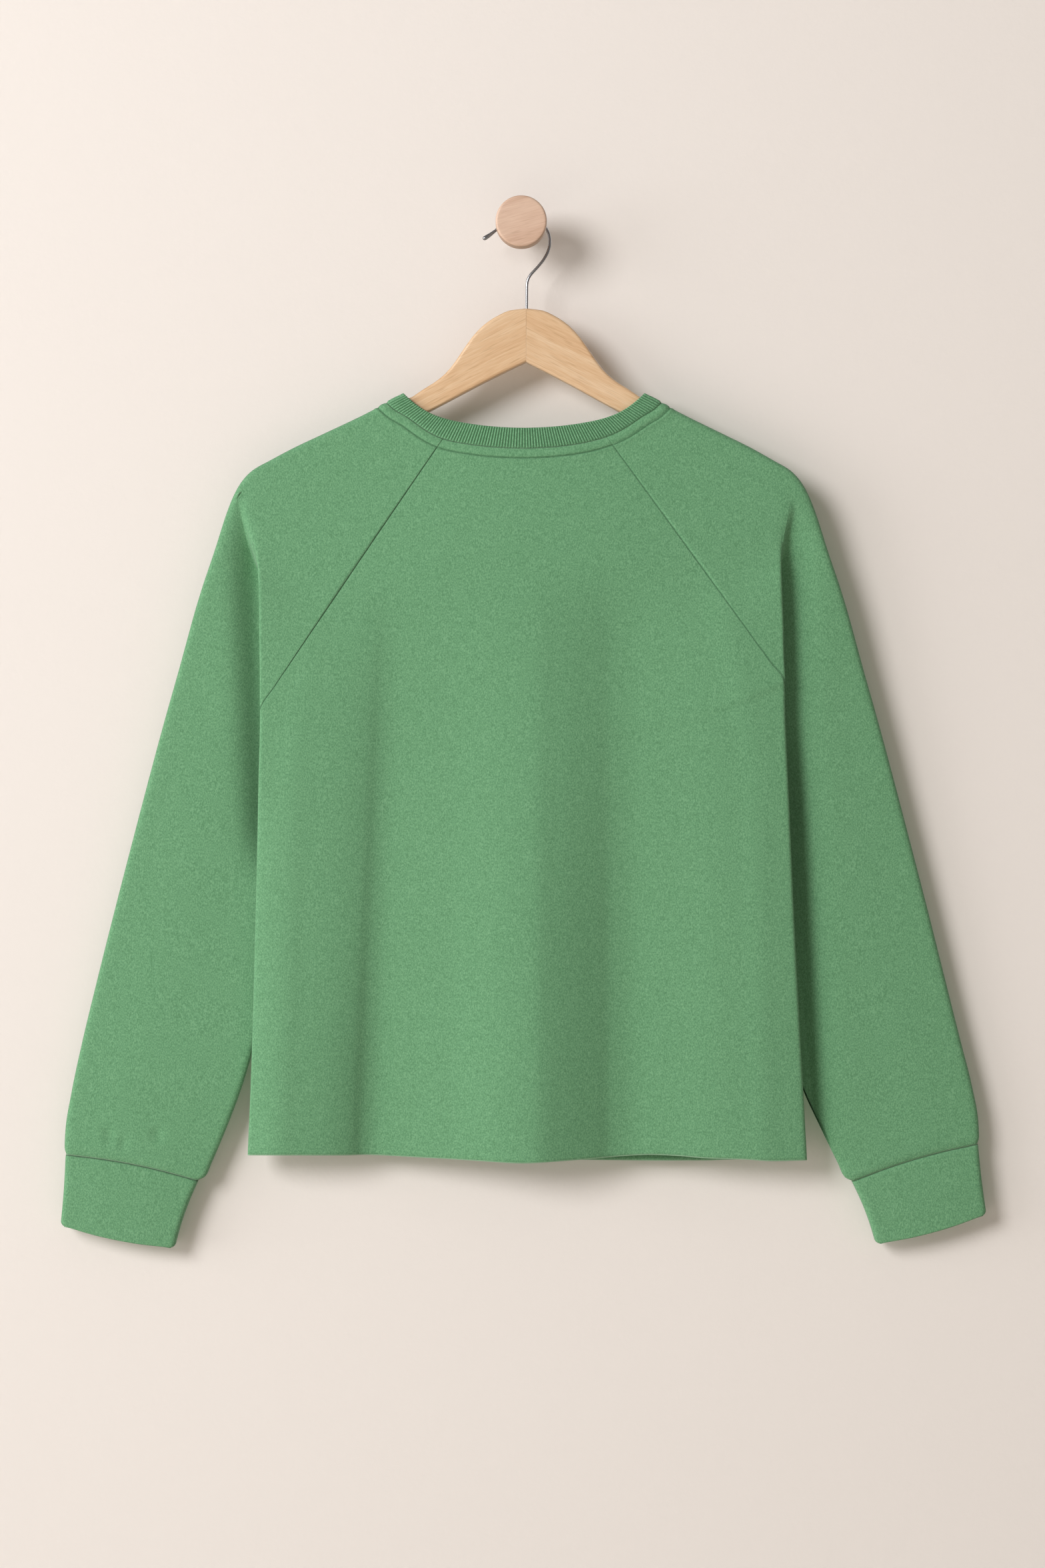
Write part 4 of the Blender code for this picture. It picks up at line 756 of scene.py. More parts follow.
    @staticmethod
    def sleeve_columns(loop: Loop, side: Side, above: bool, past_fold: float = COLUMN_GAP) -> Array:
        """Where a sleeve's key points lie along a loop, from the back raglan seam round to the front one.

        Args:
            loop: the loop that the sleeve is cut from.
            side: the sleeve's side.
            above: whether the loop is above the underarm.
            past_fold: how far past the pleat's inner fold its last column lies.

        Returns:
            Distances along the loop.
        """
        if above:
            names = loop.named
            first, last = names[f"{side.name} seam"], names[f"{side.name} front_seam"]
            words = ("edge_back", "edge_front", "inner_front", "inner_back")
            marks = [names.get(f"{side.name} {word}", names[f"{side.name} edge_back"]) for word in words]
            outer = [names[f"{side.name} outer_back"], names[f"{side.name} outer_front"]]
        else:
            first, last, marks = 0.0, loop.length, []
            outer = [loop.named["outer_back"], loop.named["outer_front"]]
        way = 1.0 if last > first else -1.0
        places = [0.0]
        for mark in marks:
            places.append(max(way * (mark - first), places[-1] + COLUMN_GAP))
        if above:
            places[-1] += past_fold
            beside = places[-1] + EDGE_STEP
        else:
            places = places * (FLAP_COLUMNS + 1)
            beside = loop.named["inner_back"] + 1.0
        outer_back, outer_front = (way * (mark - first) for mark in outer)
        end = way * (last - first)
        near = OUTER_TURN * 0.9
        places += [beside] + spread(beside, outer_back - near, 3)
        places += [outer_back - near, outer_back + 1.5, 0.5 * (outer_back + outer_front), outer_front - 1.5]
        places += [outer_front + near]
        places += spread(outer_front + near, end - 3.0, 3)
        places += [end - 3.0, end]
        return first + way * np.array(places)


@dataclass(frozen=True)
class Crease:
    """One soft fold in the cloth: a trough where its height is negative, else a ridge.

    Attributes:
        start: its upper end, as x and z in millimetres.
        end: its lower end.
        width: how wide it is to either side.
        height: how far it stands out of the cloth.
        fade: the share of its length over which it fades in, and out if both_ends is set.
        both_ends: whether it fades out at its lower end too.
    """

    start: Pair
    end: Pair
    width: float
    height: float
    fade: float = 0.4
    both_ends: bool = True

    def rise(self, grid: Array) -> Array:
        """How far the fold moves each point of a grid out."""
        start, end = np.array(self.start), np.array(self.end)
        run = end - start
        length = np.linalg.norm(run)
        way = run / length
        away = grid[..., [0, 2]] - start
        along = (away @ way) / length
        beside = away @ np.array((way[1], -way[0]))
        shape = np.exp(-((beside / self.width) ** 2)) * ease(along / self.fade)
        if self.both_ends:
            shape = shape * ease((1 - along) / self.fade)
        return self.height * shape


@dataclass
class ClothPiece:
    """A cut piece of cloth, as a thin closed shell about its middle surface.

    Attributes:
        name: the piece's name.
        node: the plain solid that it stands for.
        thick: the cloth's thickness in millimetres.
        creases: its soft folds.
        step: how far apart its points lie on open cloth.
        finish: what it is made in.
        slot: the record's material slot; not used.
        first_closed: the first row from which it is a tube, once built, or None.
        flap: the column at which a tube's rows start.
        from_neck: how far each point is from the neck seam, once built.
        normal_grid: the outward direction at each point, once built.
        outer_grid: the outer skin's points, once built.
        used: the numbers of the points that the shell keeps, once built.
    """

    name: str
    node: str
    thick: float = CLOTH
    creases: tuple[Crease, ...] = ()
    step: float = CLOTH_STEP
    finish: Finish = Finish.KNIT
    slot: str = "knit"
    first_closed: Optional[int] = None
    flap: int = 0
    from_neck: Optional[Array] = None
    normal_grid: Optional[Array] = None
    outer_grid: Optional[Array] = None
    used: Optional[Array] = None

    def refine(self, sections: list[Array], loops: list[Loop]) -> tuple[Array, Array, list[int]]:
        """Reads more points along every loop, evenly between the key ones.

        Args:
            sections: each loop's key places.
            loops: the loops.

        Returns:
            The grid of points, the way down at each, and where the key columns are among them.
        """
        gaps = np.abs(np.diff(np.array(sections), axis=1)).max(axis=0)
        shares, keys = [0.0], [0]
        for j, gap in enumerate(gaps):
            count = max(2, math.ceil(gap / self.step))
            shares += list(j + np.arange(1, count + 1) / count)
            keys.append(len(shares) - 1)
        index = np.arange(len(gaps) + 1)
        grid, down = [], []
        for loop, places in zip(loops, sections):
            along = np.interp(shares, index, places)
            grid.append(loop.at(along))
            down.append(loop.level_down(along))
        return np.array(grid), np.array(down), keys

    def surface(
        self, sections: list[Array], loops: list[Loop], evenness: list[float], sign: int,
        first_tube: Optional[int] = None,
    ) -> tuple[Array, Array, list[int]]:
        """The piece's middle surface as a fine grid, with its outward directions.

        Args:
            sections: each loop's key places.
            loops: the loops.
            evenness: how far each loop's outward directions come from its own plane.
            sign: which way round the columns run.
            first_tube: the first loop from which the piece is a closed tube.

        Returns:
            The grid, the directions and where the key columns are.
        """
        coarse, levels, keys = self.refine(sections, loops)
        steps = np.linalg.norm(np.diff(coarse, axis=0), axis=2).mean(axis=1)
        stops = np.concatenate([[0.0], np.cumsum(steps)])
        marks = [np.arange(0.0, FINE_REACH, FINE_STEP)]
        for start, end in zip(stops, stops[1:]):
            count = max(2, math.ceil((end - start) / self.step))
            marks.append(start + (end - start) * np.arange(count) / count)
        marks = np.concatenate(marks + [stops[-1:]])
        marks = np.unique(np.round(marks, 5))
        near = np.concatenate([[True], np.diff(marks) > 0.25])
        if first_tube is not None:
            near |= np.isclose(marks, round(stops[first_tube], 5))
        near[-1] = True
        marks = marks[near]
        grid = read(stops, coarse, marks)
        if first_tube is not None:
            self.first_closed = int(np.argmin(np.abs(marks - stops[first_tube])))
            self.flap = keys[FLAP_COLUMNS]
        level = read(stops, levels, marks)
        share = np.interp(marks, stops, evenness)[:, None, None]
        across = unit(np.gradient(grid, axis=1))
        down = unit(np.gradient(grid, axis=0)) * (1 - share) + level * share
        return grid, unit(np.cross(across, down)) * sign, keys

    def relief(self, from_neck: Array, from_seam: Array) -> Array:
        """How far the outer skin stands out: a soft strip below the neck seam, and a dip at every seam.

        Args:
            from_neck: how far each point is from the neck seam.
            from_seam: how far each is from a raglan seam.

        Returns:
            The height at each point.
        """
        strip = STRIP_SWELL * np.sin(np.pi * np.clip(from_neck / TOPSTITCH_DROP, 0, 1)) ** 0.8
        furrow = -0.45 * np.exp(-(((from_neck - TOPSTITCH_DROP) / 0.8) ** 2))
        below = 0.35 * np.exp(-(((from_neck - TOPSTITCH_DROP - 2.2) / 1.4) ** 2))
        seam = -0.08 * np.exp(-((from_seam / 0.7) ** 2)) + 0.05 * np.exp(-(((from_seam - 2.4) / 1.3) ** 2))
        return strip + furrow + below + seam * (0.3 + 0.7 * ease((from_neck - TOPSTITCH_DROP + 1.0) / 2.0))

    def sew_up(self, grid: Array, normals: Array, rows: int) -> Object:
        """Makes a panel's shell, drawn in a little at its seams, and keeps on its points how far each edge
        is.

        Args:
            grid: the panel's middle points.
            normals: the outward direction at each.
            rows: how many of the first rows end in a seam on either side.

        Returns:
            The new object.
        """
        neck = fill_in(Pattern.yoke(0.0).at(np.linspace(0, NECK_ROUND, 1300)), 0.5)
        seams = np.concatenate([fill_in(grid[:rows, end], 0.7) for end in (0, -1)])
        self.normal_grid, self.from_neck = normals, nearest(grid, neck, 40.0)
        far = {"from_neck": self.from_neck, "from_seam": nearest(grid, seams, 30.0),
               "from_end": np.linalg.norm(grid - grid[-1:], axis=-1).clip(0, 40)}
        drawn_in = grid.copy()
        for end, beside in ((0, 1), (-1, -2)):
            drawn_in[:rows, end] += SEAM_GAP / 2 * unit(grid[:rows, beside] - grid[:rows, end])
        item = self.shell(drawn_in, normals, self.relief(self.from_neck, far["from_seam"]))
        for name, values in far.items():
            set_values(item, name, np.tile(values.ravel(), 2)[self.used])
        return item

    def shell(self, middle: Array, outward: Array, relief: Optional[Array] = None) -> Object:
        """Makes the closed shell: an outer and an inner skin, joined round the rims.

        Args:
            middle: the grid of middle points.
            outward: the outward direction at each.
            relief: how far each point of the outer skin is raised.

        Returns:
            The new object.
        """
        rows, columns = middle.shape[:2]
        last_open = rows if self.first_closed is None else self.first_closed
        lift = np.zeros(middle.shape[:2]) if relief is None else relief
        outer = middle + outward * (self.thick / 2 + lift)[..., None]
        inner = middle - outward * (self.thick / 2 - 0.5 * lift)[..., None]
        number = np.arange(rows * columns).reshape(rows, columns)
        if self.first_closed is not None:
            number[last_open:, -1] = number[last_open:, self.flap]
        total = rows * columns
        faces = []
        for i in range(rows - 1):
            start = 0 if i + 1 < last_open else self.flap
            a, b = number[i, start:-1], number[i, start + 1:]
            c, d = number[i + 1, start + 1:], number[i + 1, start:-1]
            quads = np.stack([a, b, c, d], axis=-1)
            faces += quads.tolist() + (quads[:, ::-1] + total).tolist()
            if i < last_open:
                left, under = number[i, start], number[i + 1, start]
                right, below = number[i, -1], number[i + 1, -1]
                faces.append([left, under, under + total, left + total])
                faces.append([below, right, right + total, below + total])
        rims = [(0, j, 1) for j in range(columns - 1)]
        rims += [(rows - 1, j, -1) for j in range(self.flap if self.first_closed else 0, columns - 1)]
        if self.first_closed:
            rims += [(last_open - 1, j, -1) for j in range(self.flap)]
        for i, j, way in rims:
            a, b = number[i, j], number[i, j + 1]
            faces.append([b, a, a + total, b + total] if way > 0 else [a, b, b + total, a + total])
        points = np.concatenate([outer.reshape(-1, 3), inner.reshape(-1, 3)]) * MM
        self.outer_grid = outer
        self.used = np.unique(np.concatenate([np.asarray(face) for face in faces]))
        return make_object(self.name, points, faces)

    def dress(
        self, item: Object, flat: Pair, area: float, on_it: list[Object],
    ) -> Object:
        """Args:
            item: the piece's object.
            flat: the width and length of its cut in millimetres.
            area: the cut's area in square metres; not used.
            on_it: the pieces sewn on it; not used.

        Returns:
            The same object.
        """
        item.data.materials.clear()
        item.data.materials.append(MATERIALS[self.finish])
        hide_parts(self.node)
        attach(item, ROOT)
        LOG.info("%s: %d points, cut %.0f x %.0f mm", self.name, len(item.data.vertices), *flat)
        return item


def make_object(name: str, points: Array, faces: list) -> Object:
    """Makes an object from points in metres, without loose points and with its faces pointing out.

    Args:
        name: the object's name.
        points: its points.
        faces: its faces, as lists of point numbers.

    Returns:
        The new object, shaded smooth.
    """
    used = np.unique(np.concatenate([np.asarray(face) for face in faces]))
    renumber = np.zeros(len(points), int)
    renumber[used] = np.arange(len(used))
    mesh = bpy.data.meshes.new(name)
    mesh.from_pydata(points[used].tolist(), [], [renumber[face].tolist() for face in faces])
    mesh.update()
    mesh.shade_smooth()
    item = bpy.data.objects.new(name, mesh)
    bpy.context.collection.objects.link(item)
    return item


def ring_solid(name: str, rings: list[Array], capped: bool) -> Object:
    """Makes a solid from rings of points: capped at both ends, or joined from the last ring to the first.

    Args:
        name: the object's name.
        rings: arrays of points in metres, all of one length, anticlockwise as seen from the last ring.
        capped: whether the first and last ring are closed with a cap instead of being joined to each other.

    Returns:
        The new object.
    """
    count = len(rings[0])
    faces = []
    around = np.arange(count)
    after = (around + 1) % count
    pairs = list(zip(range(len(rings) - 1), range(1, len(rings))))
    if not capped:
        pairs.append((len(rings) - 1, 0))
    for low, high in pairs:
        a, b = low * count, high * count
        faces += np.stack([a + around, a + after, b + after, b + around], axis=-1).tolist()
    if capped:
        faces.append(list(range(count))[::-1])
        faces.append(list(range((len(rings) - 1) * count, len(rings) * count)))
    return make_object(name, np.concatenate(rings), faces)


def set_values(item: Object, name: str, values: Array) -> None:
    """Keeps a number or a direction for each point of a mesh, for its material or its nodes to read.

    Args:
        item: the mesh's object.
        name: the attribute's name.
        values: the value at each point.
    """
    kind, word = ("FLOAT_VECTOR", "vector") if values.ndim > 1 else ("FLOAT", "value")
    store = item.data.attributes.new(name, kind, "POINT")
    store.data.foreach_set(word, np.ascontiguousarray(values, np.float32).ravel())


def nearest(points: Array, line: Array, most: float) -> Array:
    """The distance from each point to a line of points, up to a most.

    Args:
        points: the points.
        line: points along the line.
        most: the largest distance given.

    Returns:
        The distance of each point.
    """
    tree = KDTree(len(line))
    for i, place in enumerate(line):
        tree.insert(place, i)
    tree.balance()
    flat = points.reshape(-1, 3)
    far = np.array([tree.find(place)[2] for place in flat])
    return np.minimum(far, most).reshape(points.shape[:-1])


def fill_in(line: Array, step: float) -> Array:
    """A line with more points on it, evenly spaced.

    Args:
        line: the line's points.
        step: about how far apart the new ones are.

    Returns:
        The new points.
    """
    lengths = np.concatenate([[0.0], np.cumsum(np.linalg.norm(np.diff(line, axis=0), axis=1))])
    marks = np.linspace(0.0, lengths[-1], max(2, int(lengths[-1] / step)))
    return np.stack([np.interp(marks, lengths, line[:, axis]) for axis in range(3)], axis=-1)


@dataclass(frozen=True)
class Drape:
    """How a panel stands out or in across its width, and how much of that shows at each drop.

    Attributes:
        across: places across the panel, from left to right.
        height: how far the cloth stands out there, or in where it is negative.
        drop: the drops at which the share is given.
        share: how much of the height shows there.
        lean: how far the folds drift to the right for each millimetre down.
    """

    across: tuple[float, ...]
    height: tuple[float, ...]
    drop: tuple[float, ...]
    share: tuple[float, ...]
    lean: float = 0.0

    def rise(self, across: Array, drop: Array) -> Array:
        """How far it moves each point out."""
        across = across - self.lean * (drop - 600.0)
        return read(self.across, self.height, across) * read(self.drop, self.share, drop)


@dataclass
class BodyPanel(ClothPiece):
    """The back or the front: one panel from the neck seam to its raw hem."""

    layer: str = "back"
    drapes: tuple[Drape, ...] = ()

    def build(self) -> Object:
        """Builds the panel from the loops above and below the underarm."""
        loops = [Pattern.yoke(share) for share in YOKE_ROWS] + [Pattern.body(share) for share in BODY_ROWS]
        sections = [Pattern.panel_columns(loop, self.layer) for loop in loops]
        evenness = [float(ease((share - PLEAT_START) / PLEAT_SOFT)) for share in YOKE_ROWS]
        evenness += [float(1 - ease(share / 0.4)) for share in BODY_ROWS]
        grid, normals, _ = self.surface(sections, loops, evenness, 1)
        grid = self.fit_hem(self.hang(grid))
        for crease in self.creases:
            grid[..., 1] -= crease.rise(grid)
        return self.sew_up(grid, normals, len(grid))

    def hang(self, grid: Array) -> Array:
        """Adds the folds that fall down the panel and fade out towards its sides."""
        across, drop = grid[..., 0], -grid[..., 2]
        edge = np.interp(drop, FOLD_EDGE["drop"], FOLD_EDGE["out"])
        inside = ease((edge - np.abs(across)) / FOLD_FADE)
        rise = sum(drape.rise(across, drop) for drape in self.drapes) * inside
        moved = grid.copy()
        moved[..., 1] += rise if self.layer == "front" else -rise
        return moved

    def fit_hem(self, grid: Array) -> Array:
        """Brings the panel's last rows to its hem line."""
        hem = HEMS[self.layer]
        change = -read(hem["across"], hem["drop"], grid[-1, :, 0]) - grid[-1, :, 2]
        moved = grid.copy()
        moved[..., 2] += change[None, :] * ease((-grid[..., 2] - HEM_FIT_DROP) / HEM_FIT_REACH)
        return moved


@dataclass
class Sleeve(ClothPiece):
    """One raglan sleeve: open along its raglan seams, and a tube from the underarm down."""

    side: Side = SIDES[0]

    def build(self) -> Object:
        """Builds the sleeve from the loops of the yoke and its own loops."""
        side = self.side
        yoke = [share for share in YOKE_ROWS if share < FOLD_SHARE]
        loops = [Pattern.yoke(share) for share in yoke]
        sections = [
            Pattern.sleeve_columns(loop, side, True, NOTCH if share > NOTCH_SHARE else COLUMN_GAP)
            for loop, share in zip(loops, yoke)
        ]
        evenness = [float(ease((share - PLEAT_START) / PLEAT_SOFT)) for share in yoke]
        tube = [Pattern.sleeve(side, share) for share in SLEEVE_ROWS] + [Pattern.cuff(side, 0.0)]
        sections += [Pattern.sleeve_columns(loop, side, False) for loop in tube]
        evenness += [float(1 - ease(share / 0.3)) for share in SLEEVE_ROWS] + [0.0]
        grid, normals, keys = self.surface(sections, loops + tube, evenness, -side.way, first_tube=len(loops))
        closed, flap = self.first_closed, self.flap
        joined = unit(normals[closed:, flap] + normals[closed:, -1])
        normals[closed:, flap] = normals[closed:, -1] = joined
        # Above the underarm a crease moves the cloth past the pleat's edge, below it the side that faces out.
        run = np.cumsum(np.linalg.norm(np.diff(grid, axis=1, prepend=grid[:, :1]), axis=2), axis=1)
        edge, inner = run[:, keys[2], None], run[:, keys[3], None]
        under = ease((run - edge) / np.maximum(inner - edge, 9.0))
        past = (np.arange(len(grid))[:, None] - closed) / CREASE_ROWS
        facing = np.clip(-normals[..., 1] * 2, 0, 1)
        under = (under + (1 - under) * ease(past)) * (1 + (facing - 1) * ease(past + 1))
        for crease in self.creases:
            grid[..., 1] -= crease.rise(grid) * under
        return self.sew_up(grid, normals, closed)


@dataclass
class Cuff(ClothPiece):
    """One cuff: knit turned back on itself, with a soft fold at its edge."""

    side: Side = SIDES[0]
    around: int = 150
    swell: float = 0.5

    def build(self) -> Object:
        """Builds the cuff from the outside at its seam, round its edge and back up inside."""
        shares = np.concatenate([np.linspace(0.0, 0.94, 22), (0.955, 0.97, 0.985, 0.995, 1.0)])
        grid = []
        for share in shares:
            loop = Pattern.cuff(self.side, share)
            grid.append(loop.at(np.linspace(0.0, loop.length, self.around + 1)[:-1]))
        grid = np.array(grid)
        down = unit(grid[-1].mean(axis=0) - grid[0].mean(axis=0))
        grid[0] += down * CUFF_SEAM_GAP
        wrapped = np.concatenate([grid[:, -1:], grid, grid[:, :1]], axis=1)
        across, along = (unit(np.gradient(wrapped, axis=axis)) for axis in (1, 0))
        normals = (unit(np.cross(across, along)) * -self.side.way)[:, 1:-1]
        half = self.thick / 2
        swell = self.swell * np.sin(np.pi * np.clip(shares * 1.02, 0, 1)) ** 0.7
        rings = [row + normal * (half * (0.75 + 0.25 * ease(share / 0.06)) + more)
                 for row, normal, share, more in zip(grid, normals, shares, swell)]
        for angle in np.radians((60, 25, -25, -60)):
            rings.append(grid[-1] + normals[-1] * half * math.sin(angle) + down * half * math.cos(angle))
        rings += [row - normal * half for row, normal in zip(grid[::-1], normals[::-1])]
        if self.side.way > 0:
            rings = [ring[::-1] for ring in rings]
        item = ring_solid(self.name, [ring * MM for ring in rings], False)
        below = np.repeat(np.linalg.norm(np.array(rings) - rings[0][None], axis=-1).mean(axis=1), self.around)
        set_values(item, "from_seam", np.clip(below + 0.2, 0, 30))
        set_values(item, "from_neck", np.full(len(below), 40.0))
        set_values(item, "from_end", np.full(len(below), 40.0))
        return item


@dataclass
class NeckBand(ClothPiece):
    """The ribbed neckband: a ring along the neck seam, whose ribs are raised in Geometry Nodes.

    Attributes:
        ribs: how many ribs there are all round: real ones are 1.8 mm apart, these 2.5 mm, so that they show.
        rib_height: how far they stand out.
        points_a_rib: how many points each has.
        swell: how far the band's middle stands out.
        roll: how far its free edge rolls out.
    """

    ribs: int = 248
    rib_height: float = 0.52
    points_a_rib: int = 5
    swell: float = 0.5
    roll: float = 0.5

    def build(self) -> Object:
        """Builds the band's ring and raises its ribs."""
        seam, edge = Pattern.yoke(0.0), Pattern.band_edge()
        marks = ["back", "left seam", "left outer_back", "left outer_front", "left front_seam", "front",
                 "right front_seam", "right outer_front", "right outer_back", "right seam", "back"]
        stops = []
        for loop in (seam, edge):
            places = [loop.named[mark] for mark in marks]
            places[-1] = loop.length
            stops.append(np.array(places))
        count = self.ribs * self.points_a_rib
        where = np.linspace(0.0, stops[0][-1], count + 1)[:-1]
        edge_where = np.interp(where, stops[0], stops[1])
        low, high = seam.at(where), edge.at(edge_where)
        rise = unit(high - low)
        low = low + rise * BAND_SEAM_GAP
        across = unit(np.roll(low, -3, axis=0) - np.roll(low, 3, axis=0))
        normals = unit(np.cross(across, -rise))
        half = self.thick / 2
        profile = [(up, half * (0.55 + 0.45 * ease(up / 0.12)) + self.swell * math.sin(math.pi * up) ** 0.8
                    + self.roll * float(ease((up - 0.75) / 0.25)), float(ease(up / 0.10)))
                   for up in np.linspace(0.0, 0.95, 13)]
        profile += [(0.985, half * 0.75 + self.roll, 0.8), (1.0, self.roll * 0.9, 0.7)]
        profile += [(0.99, -half * 0.7, 0.7)]
        profile += [(up, -half, 0.6) for up in (0.93, 0.6, 0.3, 0.0)]
        rings, ribbed = [], []
        for up, out, share in profile:
            rings.append((low + (high - low) * up + normals * out) * MM)
            ribbed.append(np.full(count, share))
        item = ring_solid(self.name, rings, False)
        set_values(item, "ribbed", np.concatenate(ribbed))
        set_values(item, "round", np.tile(np.arange(count) / count, len(rings)))
        set_values(item, "outward", np.concatenate([normals * (1 if out > -half * 0.6 else -1)
                                                    for _, out, _ in profile]))
        return run_nodes(item, self.rib_tree(), {
            "Ribs": self.ribs, "Rib Height": self.rib_height * MM, "Material": MATERIALS[self.finish],
        })

    def rib_tree(self) -> NodeTree:
        """The tree that moves each point of the band out by a wave that runs round it."""
        tree, start, end = new_tree("raised_ribs", {
            "Ribs": ("NodeSocketInt", 248), "Rib Height": ("NodeSocketFloat", 0.0004),
            "Material": ("NodeSocketMaterial", None),
        })
        turn = add(tree, "GeometryNodeInputNamedAttribute", {"data_type": "FLOAT"}, {"Name": "round"})
        ribbed = add(tree, "GeometryNodeInputNamedAttribute", {"data_type": "FLOAT"}, {"Name": "ribbed"})
        outward = add(
            tree, "GeometryNodeInputNamedAttribute", {"data_type": "FLOAT_VECTOR"}, {"Name": "outward"},
        )
        many = add(tree, "ShaderNodeMath", {"operation": "MULTIPLY"}, {0: turn, 1: start.outputs["Ribs"]})
        angle = add(tree, "ShaderNodeMath", {"operation": "MULTIPLY"}, {0: many, 1: 2 * math.pi})
        wave = add(tree, "ShaderNodeMath", {"operation": "COSINE"}, {0: angle})
        share = add(tree, "ShaderNodeMath", {"operation": "MULTIPLY"}, {0: wave, 1: ribbed})
        height = add(tree, "ShaderNodeMath", {"operation": "MULTIPLY"},
                     {0: share, 1: start.outputs["Rib Height"]})
        move = add(tree, "ShaderNodeVectorMath", {"operation": "SCALE"},
                   {0: outward, "Scale": height})
        place = add(tree, "GeometryNodeSetPosition", {},
                    {"Geometry": start.outputs["Geometry"], "Offset": move})
        # The wave is kept as "rib" for the rib material, which paints shade in the hollows between the ribs.
        kept = add(tree, "GeometryNodeStoreNamedAttribute", {"data_type": "FLOAT", "domain": "POINT"},
                   {"Geometry": place, "Name": "rib", "Value": share})
        real = add(tree, "GeometryNodeRealizeInstances", {}, {"Geometry": kept})
        dressed = add(tree, "GeometryNodeSetMaterial", {},
                      {"Geometry": real, "Material": start.outputs["Material"]})
        tree.links.new(dressed.outputs[0], end.inputs["Geometry"])
        return tree


@dataclass
class Topstitch:
    """The ragged row of thread below the neck seam, laid stitch by stitch in Geometry Nodes."""

    drop: float = TOPSTITCH_DROP
    pitch: float = 1.75
    length: float = 1.5
    thread: float = 0.55
    seed: int = 7
    tree: Optional[NodeTree] = None

    def build(self, panel: ClothPiece, name: str) -> Object:
        """Lays the stitches along one panel.

        Args:
            panel: the panel, already built.
            name: the row's name.

        Returns:
            The row of stitches as a plain mesh.
        """
        points, outward, down = [], [], []
        skin = panel.outer_grid
        rows = panel.from_neck.shape[0]
        for j in range(panel.from_neck.shape[1]):
            far = panel.from_neck[:, j]
            i = int(np.argmax(far > self.drop))
            if i == 0 or i > rows - 2:
                continue
            share = (self.drop - far[i - 1]) / (far[i] - far[i - 1])
            points.append(skin[i - 1, j] + (skin[i, j] - skin[i - 1, j]) * share)
            outward.append(panel.normal_grid[i, j])
            down.append(unit(skin[i + 1, j] - skin[i - 1, j]))
        points = np.array(points)
        mesh = bpy.data.meshes.new(name)
        mesh.from_pydata((points * MM).tolist(), [(i, i + 1) for i in range(len(points) - 1)], [])
        line = bpy.data.objects.new(name, mesh)
        bpy.context.collection.objects.link(line)
        set_values(line, "outward", np.array(outward))
        set_values(line, "down", np.array(down))
        self.tree = self.tree or self.stitch_tree()
        item = run_nodes(line, self.tree, {
            "Pitch": self.pitch * MM, "Length": self.length * MM, "Thread": self.thread * MM,
            "Seed": self.seed + len(points), "Material": MATERIALS[Finish.THREAD],
        })
        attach(item, ROOT)
        return item

    def stitch_tree(self) -> NodeTree:
        """The tree that lays a short thread at every pitch, each a little turned and longer or shorter."""
        tree, start, end = new_tree("laid_stitches", {
            "Pitch": ("NodeSocketFloat", 0.0018), "Length": ("NodeSocketFloat", 0.0015),
            "Thread": ("NodeSocketFloat", 0.0005), "Seed": ("NodeSocketInt", 7),
            "Material": ("NodeSocketMaterial", None),
        })
        curve = add(tree, "GeometryNodeMeshToCurve", {}, {"Mesh": start.outputs["Geometry"]})
        even = add(tree, "GeometryNodeResampleCurve", {"mode": "LENGTH"},
                   {"Curve": curve, "Length": start.outputs["Pitch"]})
        size = add(tree, "ShaderNodeCombineXYZ", {}, {
            "X": start.outputs["Thread"], "Y": start.outputs["Length"], "Z": start.outputs["Thread"],
        })
        ball = add(tree, "GeometryNodeMeshUVSphere", {}, {"Segments": 6, "Rings": 5, "Radius": 0.5})
        thread = add(tree, "GeometryNodeTransform", {}, {"Geometry": ball, "Scale": size})
        outward = add(
            tree, "GeometryNodeInputNamedAttribute", {"data_type": "FLOAT_VECTOR"}, {"Name": "outward"},
        )
        down = add(tree, "GeometryNodeInputNamedAttribute", {"data_type": "FLOAT_VECTOR"}, {"Name": "down"})
        face = add(tree, "FunctionNodeAlignRotationToVector", {"axis": "Z"}, {"Vector": outward})
        hang = add(tree, "FunctionNodeAlignRotationToVector", {"axis": "Y", "pivot_axis": "Z"},
                   {"Rotation": face, "Vector": down})
        placed = add(tree, "GeometryNodeInstanceOnPoints", {}, {
            "Points": even, "Instance": thread, "Rotation": hang,
        })
        lean = add(tree, "FunctionNodeRandomValue", {"data_type": "FLOAT"},
                   {2: -0.55, 3: 0.55, "Seed": start.outputs["Seed"]})
        turn = add(tree, "ShaderNodeCombineXYZ", {}, {"Z": lean.outputs[1]})
        leaning = add(tree, "GeometryNodeRotateInstances", {},
                      {"Instances": placed, "Rotation": turn})
        uneven = add(tree, "FunctionNodeRandomValue", {"data_type": "FLOAT"},
                     {2: 0.55, 3: 1.35, "Seed": start.outputs["Seed"]})
        stretch = add(tree, "ShaderNodeCombineXYZ", {}, {"X": 1.0, "Y": uneven.outputs[1], "Z": 1.0})
        ragged = add(tree, "GeometryNodeScaleInstances", {},
                     {"Instances": leaning, "Scale": stretch})
        real = add(tree, "GeometryNodeRealizeInstances", {}, {"Geometry": ragged})
        smooth = add(tree, "GeometryNodeSetShadeSmooth", {}, {"Geometry": real})
        dressed = add(tree, "GeometryNodeSetMaterial", {},
                      {"Geometry": smooth, "Material": start.outputs["Material"]})
        tree.links.new(dressed.outputs[0], end.inputs["Geometry"])
        return tree


